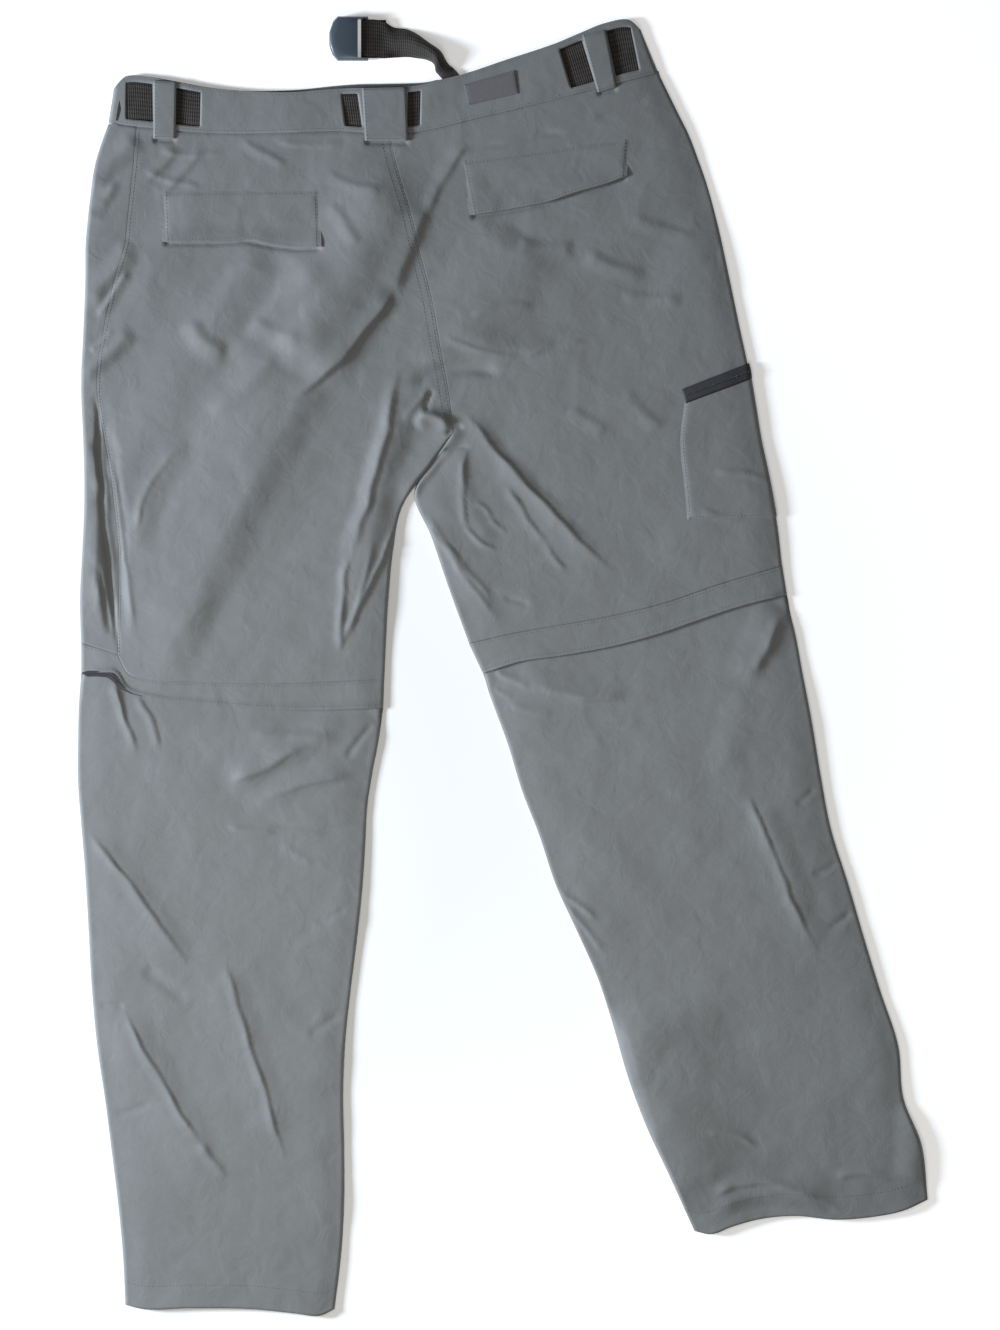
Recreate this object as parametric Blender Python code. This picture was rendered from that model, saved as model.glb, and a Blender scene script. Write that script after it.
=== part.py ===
"""Convertible zip-off trousers, laid flat with the back up and the belt's end out above the waist.

Tables and helpers are in millimetres and meshes in metres. +Z is up, X runs across the waist and
+Y runs from the hems to the waist. The wearer's left leg is on the -X side.
"""
import bpy
import numpy as np

MM = 0.001

# Layers, from the surface up: front waistband, belt's front half, belt's back half, back waistband.
CLOTH = 1.2
WEBBING = 1.2
TAPE = 1.0
GAP = 0.3
WAIST_GAP = 0.6
FLOOR_LAYER = CLOTH
BELT_FRONT = FLOOR_LAYER + GAP
BELT_BACK = BELT_FRONT + WEBBING + GAP
LOFT = BELT_BACK + WEBBING + GAP + CLOTH
LOWEST_TOP = FLOOR_LAYER + GAP + CLOTH + GAP

# How cloth turns down at a folded side, and how far a leg's top lies below the band over its zip.
TURN_WIDTH = 6.0
WRAP_RADIUS = 4.0
TUCK_DEPTH = CLOTH + GAP + 0.2
TUCK_INSET = CLOTH + GAP + 0.3
TUCK_OVERLAP = 5.0
WEBBING_WIDTH = 38.0
WAISTBAND_HEIGHT = 45.0
LOOP_TAIL = 4.0
PATCH_ROWS = (0.2, 0.7)

# Where the belt's front half ends on both sides of the closure, and the least gap to its next column.
BELT_ENDS = (-68.0, -30.0)
BELT_CLEARANCE = 8.0

# Waistband stations from left to right: name, top x, y, bottom x, y, rise of the front half's top.
WAIST = (
    ("left fold", -372, 548, -377, 515, 0),
    ("left corner", -364, 557, -369, 514.5, 0),
    ("first window", -360, 559.5, -360, 513, 0),
    ("left loop", -335, 558.5, -334, 510, 0),
    ("second window", -312, 554.5, -315, 508, 0),
    ("left run", -289, 550, -290, 506, 0),
    ("left middle", -248, 545.5, -248, 505, 0.5),
    ("middle", -205, 544.5, -205, 506, 2),
    ("third window", -156, 548, -151, 507, 3),
    ("centre loop", -141, 548.5, -135, 505.8, 3.5),
    ("centre", -115, 549, -113, 505.4, 3.5),
    ("fourth window", -92, 550, -93, 505.8, 3),
    ("right run", -80, 551.5, -81, 507, 2),
    ("bend", -62, 556, -57, 511.8, 1),
    ("patch left", -40, 561.5, -31, 518.5, 0),
    ("patch right", 5, 576.5, 17, 529.5, 0),
    ("right middle", 27, 583.5, 41, 535.5, 0),
    ("fifth window", 50, 591.5, 65, 541.8, 0),
    ("right loop", 71, 600.5, 87, 547.5, 0),
    ("sixth window", 95, 610, 107, 552.7, 0),
    ("right corner", 118, 613, 129, 558.4, 0),
    ("right fold", 129, 604, 146, 562.8, 0),
)
WAIST_ROWS = (0, 0.13, 0.5, 0.87, 1)
WINDOW_ROWS = (1, 2)
WINDOWS = ("first window", "second window", "third window", "fourth window", "fifth window", "sixth window")
LOOPS = (("belt_loop_left", "left loop", "second window"),
         ("belt_loop_centre", "centre loop", "fourth window"),
         ("belt_loop_right", "right loop", "sixth window"))

# Seams of the seat from the waist to the crotch: x, y.
CROTCH = (-48.5, 222)
CENTRE_BACK = ((-110, 505), (-103, 475), (-98, 458), (-86, 416), (-81, 393), (-69, 345), (-62, 305),
               (-54, 262), CROTCH)
CENTRE_FRONT = ((-56, 512), (-54, 480), (-52, 458), (-50, 416), (-49, 393), (-48.5, 345), (-48.5, 305),
                (-48.5, 262), CROTCH)

# Thigh sections in the seat seam's order and then down to the zip: left edge x, y, outseam x, y.
LEFT_SIDE = (
    (-377, 515, -350, 512), (-390, 474, -353, 474), (-394, 446, -356, 446), (-397, 420, -359, 420),
    (-398.5, 403, -360.5, 403), (-399, 365, -371, 365), (-401, 315, -382, 315), (-403, 265, -388, 266),
    (-401, 215, -381, 215), (-400, 183, -375, 183), (-400, 150, -371, 150), (-402, 105, -367, 105),
    (-404, 62, -367, 62), (-403, 20, -368, 10),
)
LEFT_INSEAM = (CROTCH, (-69, 191), (-98, 150), (-107, 105), (-111, 62), (-115, -14))
RIGHT_SIDE = (
    (146, 562.8), (166, 522), (174, 506), (184, 480), (190, 463), (202, 420), (213, 370), (223, 322),
    (232, 280), (238, 245), (243, 215), (251, 178), (259, 133), (263.5, 94),
)
RIGHT_INSEAM = (CROTCH, (-66, 189), (-84, 158), (-70, 122), (-53, 72), (-34, 20))

# Zip seams, and the free edges of the bands over them, from left to right: x, y.
LEFT_ZIP_SEAM = ((-368, 10), (-358, -8), (-337, -14), (-290, -17), (-204, -18), (-115, -14))
LEFT_BAND_EDGE = ((-403, -7), (-385, -7), (-371, -8), (-358, -24), (-337, -31), (-290, -37), (-204, -43),
                  (-116, -41))
RIGHT_ZIP_SEAM = ((-34, 20), (10, 30), (50, 37), (100, 46), (150, 58), (200, 75), (263.5, 94))
RIGHT_BAND_EDGE = ((-21, -8), (13, 3), (54, 9), (103, 18), (150, 31), (176, 40), (224, 56), (268, 67))

# Lower legs: left x, y, right x, y, share of the tuck under the band.
LEFT_LOWER = (
    (-403, -2, -116, -36, 1), (-403, -9, -116.5, -43, 1), (-404, -22, -118, -56, 0.5),
    (-405, -36, -120, -70, 0), (-406, -72, -126, -101, 0), (-406, -110, -131, -134, 0),
    (-403, -150, -133, -170, 0), (-399, -200, -136, -215, 0), (-396, -250, -141, -262, 0),
    (-393, -305, -147, -310, 0), (-388, -360, -152, -358, 0), (-380, -415, -154, -408, 0),
    (-373, -470, -153, -460, 0), (-367, -520, -153, -512, 0), (-363, -565, -156, -562, 0),
    (-361, -608, -162, -612, 0),
)
LEFT_HEM = ((-361, -608), (-350, -611), (-300, -611), (-240, -612), (-200, -616), (-175, -618), (-162, -612))
RIGHT_LOWER = (
    (-23, -3, 267, 72, 1), (-20, -10, 268.5, 65, 1), (-16, -24, 271, 50, 0.5), (-11, -38, 275, 34, 0),
    (3, -76, 283, -8, 0), (16, -119, 292, -55, 0), (32, -160, 300, -104, 0), (48, -208, 310, -156, 0),
    (68, -252, 327, -210, 0), (88, -297, 341, -258, 0), (103, -343, 357, -310, 0),
    (117, -392, 374, -362, 0), (135, -440, 379, -412, 0), (156, -485, 396, -455, 0),
    (180, -538, 402, -508, 0),
)
RIGHT_HEM = ((180, -538), (195, -541), (215, -534), (240, -527), (275, -523.5), (315, -527), (345, -525),
             (380, -518), (402, -508))

# Largest folds, each a quadratic curve: start, bend, end, width left and right of someone walking
# from start to end, and height, which is below zero for a trough.
FOLDS = (
    ("seat ridge", (-62, 462), (-120, 345), (-168, 275), 28, 60, 5.0),
    ("knee ridge", (-160, 290), (-235, 165), (-330, 5), 28, 60, 5.5),
    ("outseam furrow", (-388, 262), (-360, 140), (-368, 22), 13, 13, -2.2),
    ("side roll", (-395, 235), (-382, 130), (-388, 25), 12, 12, 2.2),
    ("side gather", (-350, 400), (-376, 372), (-398, 345), 18, 16, 3.0),
    ("thigh edge ridge", (-300, 212), (-342, 180), (-352, 95), 18, 16, 2.5),
    ("crotch knot", (-104, 232), (-80, 242), (-58, 232), 20, 18, 5.0),
    ("left inseam fold", (-93, 252), (-112, 175), (-150, 25), 16, 20, 3.0),
    ("drag fold", (-40, 240), (15, 170), (100, 92), 13, 20, 4.0),
    ("inner drag fold", (-45, 215), (-42, 150), (-8, 112), 13, 14, 3.0),
    ("right inseam fold", (-72, 146), (-45, 92), (-2, 36), 14, 18, 3.0),
    ("seat fold", (-92, 300), (-30, 306), (55, 308), 18, 16, 2.5),
    ("calf wrinkle", (-264, -112), (-212, -92), (-158, -55), 18, 18, 3.5),
    ("lower calf wrinkle", (-246, -140), (-205, -110), (-142, -102), 16, 16, 3.0),
    ("upper shin fold", (-399, -155), (-350, -212), (-302, -292), 24, 32, 3.5),
    ("middle shin fold", (-272, -280), (-243, -360), (-210, -460), 26, 26, 3.0),
    ("lower shin fold", (-366, -322), (-322, -405), (-272, -488), 24, 32, 4.0),
    ("right knee fold", (25, -24), (70, -38), (116, -30), 16, 18, 3.0),
    ("right knee edge fold", (266, 52), (246, 22), (226, -20), 18, 24, 3.5),
    ("right shin fold", (238, -120), (268, -195), (300, -280), 28, 26, 3.0),
    ("right hem fold", (190, -522), (250, -486), (312, -516), 24, 22, 5.0),
    ("hem flare", (384, -412), (394, -458), (388, -500), 24, 22, 4.0),
)

# The belt's free end, along the strip: upper outline x, y, lower outline x, y, top height, pressed flat.
BELT_END = (
    (-124, 613.2, -124, 577, 6.6, 1), (-116, 612, -115, 576.5, 5.6, 1), (-106, 606.5, -104, 577.5, 6.5, 0.5),
    (-93, 604.5, -92, 578, 8.5, 0.3), (-81, 598.5, -80, 576.5, 10.5, 0.1), (-72, 590.5, -71, 575, 12.0, 0),
    (-62.5, 582, -66, 571.5, 12.5, 0), (-56, 573.5, -65, 564, 9.0, 0.3), (-48, 566.5, -61, 558.5, 4.0, 0.9),
    (-42, 559, -54, 551, 2.7, 1), (-38, 551, -48, 543, 2.7, 1),
)
BAR_X, BAR_Z, BAR_HALF = -133.5, 5.2, 1.3
BAR_TURN = BAR_HALF * 2 ** 0.5 + GAP + WEBBING
SEWN_END_X = -113
STRAP_POINTS = 9

# Buckle: housing from the mouth to the slot, side arms and bar.
BUCKLE_MOUTH_X, BUCKLE_BACK_X, BUCKLE_END_X = -167.0, -140.0, -130.0
BUCKLE_LOW_Y, BUCKLE_HIGH_Y = 574.3, 616.0
BUCKLE_HEIGHT = 12.0
BUCKLE_ARM = 2.2

# Buckle's corner: distances from the mouth and from the side. Rings: how far in they are, and height.
BUCKLE_CORNER = ((8.0, 0.0), (3.2, 5.5), (0.8, 12.0), (0.0, 14.85))
BUCKLE_RINGS = ((1.4, 0.0), (0.0, 2.0), (0.0, 8.0), (1.2, 10.5), (3.6, 11.7), (8.0, BUCKLE_HEIGHT))
MOUTH_WIDTH, MOUTH_HEIGHT, MOUTH_DEPTH = 31.0, 6.0, 20.0

# Columns near a folded side, in mm from it, and the shares of the width where pieces on a panel start.
EDGE_COLUMNS = (0, 0.6, 2.0, 4.5, 8.0)
COLUMN_SPACING = 26.0
LEFT_FLAP_COLUMNS = (0.116, 0.70)
RIGHT_FLAP_COLUMNS = (0.205, 0.77)
CARGO_COLUMN = 0.79
CARGO_ZIP_SHARE = 0.62
LEFT_WIDTH, RIGHT_WIDTH, LEG_WIDTH = 265.0, 280.0, 250.0
ROW_STEPS = 2
SEAM_STEPS = 6
HEM_STEPS = 4
LEFT_FLAP_ROWS = (2, 4)
RIGHT_FLAP_ROWS = (1, 3)
CARGO_ROWS = (8, 11.5)

# Finishes: colour, roughness.
FINISHES = {
    "nylon": ((0.172, 0.183, 0.190, 1), 0.62),
    "webbing": ((0.035, 0.028, 0.024, 1), 0.75),
    "zip_tape": ((0.035, 0.034, 0.038, 1), 0.7),
    "buckle_plastic": ((0.045, 0.062, 0.082, 1), 0.32),
    "patch": ((0.095, 0.09, 0.095, 1), 0.7),
}


def finish(name):
    """The material of that name, made on first use."""
    if name in bpy.data.materials:
        return bpy.data.materials[name]
    colour, roughness = FINISHES[name]
    material = bpy.data.materials.new(name)
    material.use_nodes = True
    shader = material.node_tree.nodes["Principled BSDF"]
    shader.inputs["Base Color"].default_value = colour
    shader.inputs["Roughness"].default_value = roughness
    shader.inputs["Metallic"].default_value = 0.0
    return material


def add_body(name, points, faces, finish_name, smooth=True):
    """A mesh object from points in mm."""
    mesh = bpy.data.meshes.new(name)
    mesh.from_pydata((np.asarray(points, float) * MM).tolist(), [], faces)
    mesh.update()
    if smooth:
        mesh.shade_smooth()
    mesh.materials.append(finish(finish_name))
    body = bpy.data.objects.new(name, mesh)
    bpy.context.scene.collection.objects.link(body)
    return body


def add_wall(name, outer, inner, finish_name, kept=None, ring=False):
    """One layer of cloth as a closed body: two grids of points (rows, columns, 3) joined round the rim.

    Rows run down and columns to the right as seen from outside. kept is False at a window's cells.
    ring joins the last column to the first.
    """
    rows, columns = outer.shape[:2]
    cells_across = columns if ring else columns - 1
    if kept is None:
        kept = np.ones((rows - 1, cells_across), bool)
    outside = []
    for row, column in zip(*(index.tolist() for index in np.nonzero(kept))):
        right = (column + 1) % columns
        top, bottom = row * columns, (row + 1) * columns
        outside.append((top + column, bottom + column, bottom + right, top + right))
    layer = rows * columns
    inside = [tuple(corner + layer for corner in reversed(face)) for face in outside]
    edges = {(face[i], face[(i + 1) % 4]) for face in outside for i in range(4)}
    rim = [(b, a, a + layer, b + layer) for a, b in sorted(edges) if (b, a) not in edges]
    points = np.concatenate([outer.reshape(-1, 3), inner.reshape(-1, 3)])
    return add_body(name, points, outside + inside + rim, finish_name)


def through(points, steps):
    """A smooth curve through points, with the same number of steps in each interval.

    Each interval is a cubic whose end slopes are the neighbouring chords' slopes, weighted by the
    lengths of the opposite chords.
    """
    knots = np.asarray(points, float)
    step = np.diff(knots, axis=0)
    length = np.linalg.norm(step, axis=1)[:, None]
    slope = step / length
    tangent = np.empty_like(knots)
    tangent[0], tangent[-1] = slope[0], slope[-1]
    tangent[1:-1] = (slope[:-1] * length[1:] + slope[1:] * length[:-1]) / (length[:-1] + length[1:])
    share = (np.arange(steps) / steps)[None, :, None]
    square, cube = share ** 2, share ** 3
    start, end = knots[:-1, None], knots[1:, None]
    leave, arrive = (tangent[:-1] * length)[:, None], (tangent[1:] * length)[:, None]
    curve = (start * (2 * cube - 3 * square + 1) + leave * (cube - 2 * square + share)
             + end * (3 * square - 2 * cube) + arrive * (cube - square))
    return np.concatenate([curve.reshape(-1, knots.shape[1]), knots[-1:]])


def shares(curve):
    """How far along a curve each of its points is, as a share of its length."""
    length = np.concatenate([[0], np.cumsum(np.linalg.norm(np.diff(curve, axis=0), axis=1))])
    return length / length[-1]


def along(curve, places):
    """Points at shares of a curve's length."""
    known = shares(curve)
    return np.stack([np.interp(places, known, curve[:, axis]) for axis in range(curve.shape[1])], axis=1)


def patch(top, bottom, left, right, across):
    """Coons patch: the top and bottom curves blended down the rows, plus the left and right curves
    blended across the columns, less the straight blend of the four corners."""
    down = shares((left + right) / 2)[:, None, None]
    across = np.asarray(across)[None, :, None]
    top, bottom = along(top, across.ravel())[None], along(bottom, across.ravel())[None]
    left, right = left[:, None], right[:, None]
    corners = ((1 - across) * ((1 - down) * left[:1] + down * left[-1:])
               + across * ((1 - down) * right[:1] + down * right[-1:]))
    return (1 - down) * top + down * bottom + (1 - across) * left + across * right - corners


def relief(x, y):
    """Height of the folds over the cloth's loft: half a cosine wave across each fold's curve, eased
    in and out over a fifth of its length at both ends."""
    height = np.zeros(np.shape(x))
    share = np.linspace(0, 1, 33)
    for _, start, bend, end, left_width, right_width, rise in FOLDS:
        start, bend, end = (np.array(point, float) for point in (start, bend, end))
        curve = (np.outer((1 - share) ** 2, start) + np.outer(2 * share * (1 - share), bend)
                 + np.outer(share ** 2, end))
        offset = np.stack([x, y], axis=-1)[..., None, :] - curve
        distance = np.linalg.norm(offset, axis=-1)
        nearest = distance.argmin(axis=-1)
        heading = np.gradient(curve, axis=0)[nearest]
        offset = np.take_along_axis(offset, nearest[..., None, None], axis=-2)[..., 0, :]
        side = heading[..., 0] * offset[..., 1] - heading[..., 1] * offset[..., 0]
        width = np.where(side > 0, left_width, right_width)
        across = np.clip(distance.min(axis=-1) / width, 0, 1)
        place = share[nearest]
        ends = np.clip(np.minimum(place, 1 - place) * 5, 0, 1)
        height += rise * (1 + np.cos(np.pi * across)) / 2 * ends * ends * (3 - 2 * ends)
    return height


def top_height(x, y):
    """Height of the back's outside over the surface it lies on."""
    return np.maximum(LOFT + relief(x, y), LOWEST_TOP)


def turned_down(plan, left_fold, right_fold, tuck=None):
    """Outer points of a back panel from its plan (rows, columns, 2).

    The height is top_height, less the tuck. Where a side is folded it falls as a quarter ellipse to
    the front panel's top. left_fold and right_fold are 1 in the rows where that side is folded.
    """
    tuck = np.zeros(len(plan)) if tuck is None else tuck
    top = top_height(plan[..., 0], plan[..., 1]) - TUCK_DEPTH * tuck[:, None]
    low = FLOOR_LAYER + GAP
    kept_height = np.ones_like(top)
    for border, fold in ((plan[:, :1], left_fold), (plan[:, -1:], right_fold)):
        distance = np.linalg.norm(plan - border, axis=-1)
        ellipse = np.sqrt(1 - (1 - np.clip(distance / TURN_WIDTH, 0, 1)) ** 2)
        kept_height *= 1 - np.asarray(fold)[:, None] * (1 - ellipse)
    return np.dstack([plan, low + (top - low) * kept_height])


def headings(grid, axis, ring=False):
    """Direction of a grid's lines at each point: the mean of the unit steps before and after it."""
    ends = [grid.take([-1], axis), grid, grid.take([0], axis)] if ring else [grid]
    step = np.diff(np.concatenate(ends, axis=axis), axis=axis)
    step /= np.linalg.norm(step, axis=2, keepdims=True)
    if not ring:
        step = np.concatenate([step.take([0], axis), step, step.take([-1], axis)], axis=axis)
    count = grid.shape[axis]
    return step.take(range(count), axis) + step.take(range(1, count + 1), axis)


def outward(outer, left_fold=0.0, right_fold=0.0, ring=False):
    """Unit directions out of the cloth at each point of its outer grid.

    They are the grid's normals, kept in the plane of each cut edge, and level at a folded side.
    """
    normal = np.cross(headings(outer, 0), headings(outer, 1, ring))
    normal[0, :, 1] = 0
    normal[-1, :, 1] = 0
    normal /= np.linalg.norm(normal, axis=2, keepdims=True)
    if ring:
        return normal
    for column, inner_column, fold in ((0, 1, left_fold), (-1, -2, right_fold)):
        upright = normal[:, column] * (0, 1, 1)
        level = (outer[:, column] - outer[:, inner_column]) * (1, 1, 0)
        level /= np.linalg.norm(level, axis=1, keepdims=True)
        fold = np.broadcast_to(fold, len(outer))[:, None]
        mixed = fold * level + (1 - fold) * upright / np.linalg.norm(upright, axis=1, keepdims=True)
        normal[:, column] = mixed / np.linalg.norm(mixed, axis=1, keepdims=True)
    return normal


def add_flat(name, plan, low=0.0, thickness=CLOTH, finish_name="nylon"):
    """A flat piece as one plate: the border of its plan (rows, columns, 2), between two heights."""
    border = np.concatenate([plan[:, 0], plan[-1, 1:], plan[-2::-1, -1], plan[0, -2:0:-1]])
    count = len(border)
    points = [np.column_stack([border, np.full(count, height)]) for height in (low, low + thickness)]
    faces = [tuple(range(count))[::-1], tuple(range(count, 2 * count))]
    faces += [(i, (i + 1) % count, (i + 1) % count + count, i + count) for i in range(count)]
    return add_body(name, np.concatenate(points), faces, finish_name, smooth=False)


def columns_between(width, stops, folded_left, folded_right):
    """Shares of a panel's width for its columns: close together beside a folded side, and the stops
    filled in with even columns about COLUMN_SPACING apart."""
    spacing = COLUMN_SPACING / width
    edge = np.array(EDGE_COLUMNS) / width
    left = edge if folded_left else np.array([0.0])
    right = 1 - edge[::-1] if folded_right else np.array([1.0])
    stops = [left[-1], *stops, right[0]]
    middle = []
    for start, end in zip(stops, stops[1:]):
        count = max(1, round((end - start) / spacing))
        middle.extend(np.linspace(start, end, count + 1)[:-1])
    return np.concatenate([left[:-1], middle, right])


def station(name):
    """Column of a waistband station in the waistband's plan."""
    index = [row[0] for row in WAIST].index(name)
    return index + (len(EDGE_COLUMNS) - 2 if index else 0)


def waist_seam(x):
    """Height of the waistband's lower edge in plan, at x."""
    return np.interp(x, [row[3] for row in WAIST], [row[4] for row in WAIST])


def waist_plan(rise=0.0):
    """Plan of the waistband (rows, columns, 2): straight station lines from top to bottom edge, with
    more columns in the first and last interval, where it turns down."""
    table = np.array([row[1:] for row in WAIST], float)
    close = (np.array(EDGE_COLUMNS[1:-1]) / EDGE_COLUMNS[-1])[:, None]
    left = table[0] + close * (table[1] - table[0])
    right = table[-1] + close[::-1] * (table[-2] - table[-1])
    table = np.concatenate([table[:1], left, table[1:-1], right, table[-1:]])
    top, bottom = table[:, 0:2].copy(), table[:, 2:4]
    top[:, 1] += table[:, 4] * rise
    share = np.array(WAIST_ROWS)[:, None, None]
    return (1 - share) * top + share * bottom


def add_waistband():
    """Back waistband with its windows, loops and patch, and the two halves of the front one."""
    plan = waist_plan()
    outer = turned_down(plan, np.ones(len(plan)), np.ones(len(plan)))
    outer[..., 2] = np.minimum(outer[..., 2], LOFT)
    out = outward(outer, 1, 1)
    kept = np.ones((plan.shape[0] - 1, plan.shape[1] - 1), bool)
    for window in WINDOWS:
        kept[list(WINDOW_ROWS), station(window)] = False
    add_wall("waistband_back", outer, outer - out * CLOTH, "nylon", kept)
    for name, first, last in LOOPS:
        loop = outer[:, station(first):station(last) + 1]
        tail = loop[-1:] - (0, LOOP_TAIL, 0)
        loop = np.concatenate([loop, tail]) + (0, 0, GAP + CLOTH)
        add_wall(name, loop, loop - (0, 0, CLOTH), "nylon")
    corners = plan[[0, -1]][:, [station("patch left"), station("patch right")]]
    share = np.array(PATCH_ROWS)[:, None, None]
    patch_plan = (1 - share) * corners[0] + share * corners[1]
    add_flat("waist_patch", patch_plan, LOFT + GAP, TAPE, "patch")
    add_front_waistband()


def add_front_waistband():
    """Front waistband, in two halves that meet over the centre front seam."""
    plan = waist_plan(rise=1.0)
    closure = CENTRE_FRONT[0][0]
    middle = station("bend")
    half = np.array([GAP / 2, 0])
    at_closure = plan[:, middle] + (closure - plan[-1:, middle, 0:1]) * (1, 0)
    left = np.concatenate([plan[:, :middle], at_closure[:, None] - half], axis=1)
    right = np.concatenate([at_closure[:, None] + half, plan[:, middle + 1:]], axis=1)
    add_flat("waistband_front_left", left)
    add_flat("waistband_front_right", right)


def add_belt():
    """The webbing inside the waistband: one strip along the front, round both folds and along the back,
    open where the trousers close."""
    share = (1 - WEBBING_WIDTH / WAISTBAND_HEIGHT) / 2
    plan = waist_plan()
    top, bottom = plan[0], plan[-1]
    rows = np.array([share, 0.5, 1 - share])[:, None, None]
    lines = (1 - rows) * top + rows * bottom
    radius = (BELT_BACK + WEBBING - BELT_FRONT) / 2
    middle_height = BELT_FRONT + radius
    inset = TURN_WIDTH + radius
    left_line, right_line = lines[:, :1] + (inset, 0), lines[:, -1:] - (inset, 0)
    first, last = station("first window"), station("right corner")
    back = np.concatenate([left_line, lines[:, first:last], right_line], axis=1)
    back = np.dstack([back, np.full(back.shape[:2], BELT_BACK + WEBBING)])
    front = back[:, ::-1] * (1, 1, 0) + (0, 0, BELT_FRONT)
    turn = np.radians([45, 0, -45])
    sweep = np.stack([np.cos(turn), 0 * turn, np.sin(turn)], axis=1) * radius
    right_turn = np.dstack([right_line, np.full((3, 1), middle_height)]) + sweep
    left_turn = np.dstack([left_line, np.full((3, 1), middle_height)]) + sweep[::-1] * (-1, 1, 1)
    left_end, right_end = BELT_ENDS
    right_part = front[:, front[0, :, 0] > right_end + BELT_CLEARANCE]
    left_part = front[:, front[0, :, 0] < left_end - BELT_CLEARANCE]
    cut_right = interpolate_column(front, right_end)
    cut_left = interpolate_column(front, left_end)
    strip = np.concatenate([cut_left, left_part, left_turn, back, right_turn, right_part, cut_right], axis=1)
    add_wall("belt", strip, strip - outward(strip) * WEBBING, "webbing")


def interpolate_column(grid, x):
    """One column of a grid at x, worked out along each row."""
    rows = [[np.interp(x, row[::-1, 0], row[::-1, axis]) for axis in range(3)] for row in grid]
    return np.array(rows)[:, None]


def arch(width, pressed):
    """Cross-section of the strap: places across it, as shares of its width in plan, and drops below
    its crown. It is an arc as long as the webbing is wide and as broad as width, and flat where
    pressed is 1."""
    half_turn = np.linspace(0.05, 2.6, 200)
    half = np.interp(-width / WEBBING_WIDTH, -np.sin(half_turn) / half_turn, half_turn)
    angle = np.linspace(-half, half, STRAP_POINTS)
    arc = np.sin(angle) / (2 * np.sin(half))
    drop = WEBBING_WIDTH / (2 * half) * (np.cos(angle) - 1)
    place = (1 - pressed) * arc + pressed * np.linspace(-0.5, 0.5, STRAP_POINTS)
    return place, (1 - pressed) * drop


def add_belt_end():
    """The belt's free end: sewn back round the buckle's bar, then curling over as it goes down behind
    the waistband."""
    low_y, high_y = BELT_END[0][3], BELT_END[0][1]
    sewn = [(SEWN_END_X, BAR_Z - BAR_TURN), (BELT_END[0][0], BAR_Z - BAR_TURN)]
    angles = np.radians(np.linspace(-90, -270, 7))
    sewn += [(BAR_X + BAR_TURN * np.cos(a), BAR_Z + BAR_TURN * np.sin(a)) for a in angles]
    across = np.linspace(0, 1, STRAP_POINTS)
    columns = [[(x, high_y + (low_y - high_y) * share, z) for share in across] for x, z in sewn]
    for upper_x, upper_y, lower_x, lower_y, top, pressed in BELT_END:
        upper, lower = np.array([upper_x, upper_y]), np.array([lower_x, lower_y])
        place, drop = arch(np.linalg.norm(upper - lower), pressed)
        plan = (upper + lower) / 2 + place[:, None] * (lower - upper)
        columns.append(np.column_stack([plan, np.maximum(top + drop, WEBBING)]))
    strip = np.array(columns).transpose(1, 0, 2)
    add_wall("belt_end", strip, strip - outward(strip) * WEBBING, "webbing")


def add_box(low, high):
    """A box object from its corners in mm, for cutting or joining."""
    low, high = np.array(low, float), np.array(high, float)
    corners = [[(low, high)[i][0], (low, high)[j][1], (low, high)[k][2]]
               for i in (0, 1) for j in (0, 1) for k in (0, 1)]
    faces = [(0, 1, 3, 2), (4, 6, 7, 5), (0, 4, 5, 1), (2, 3, 7, 6), (0, 2, 6, 4), (1, 5, 7, 3)]
    return add_body("cutter", corners, faces, "buckle_plastic", smooth=False)


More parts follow.
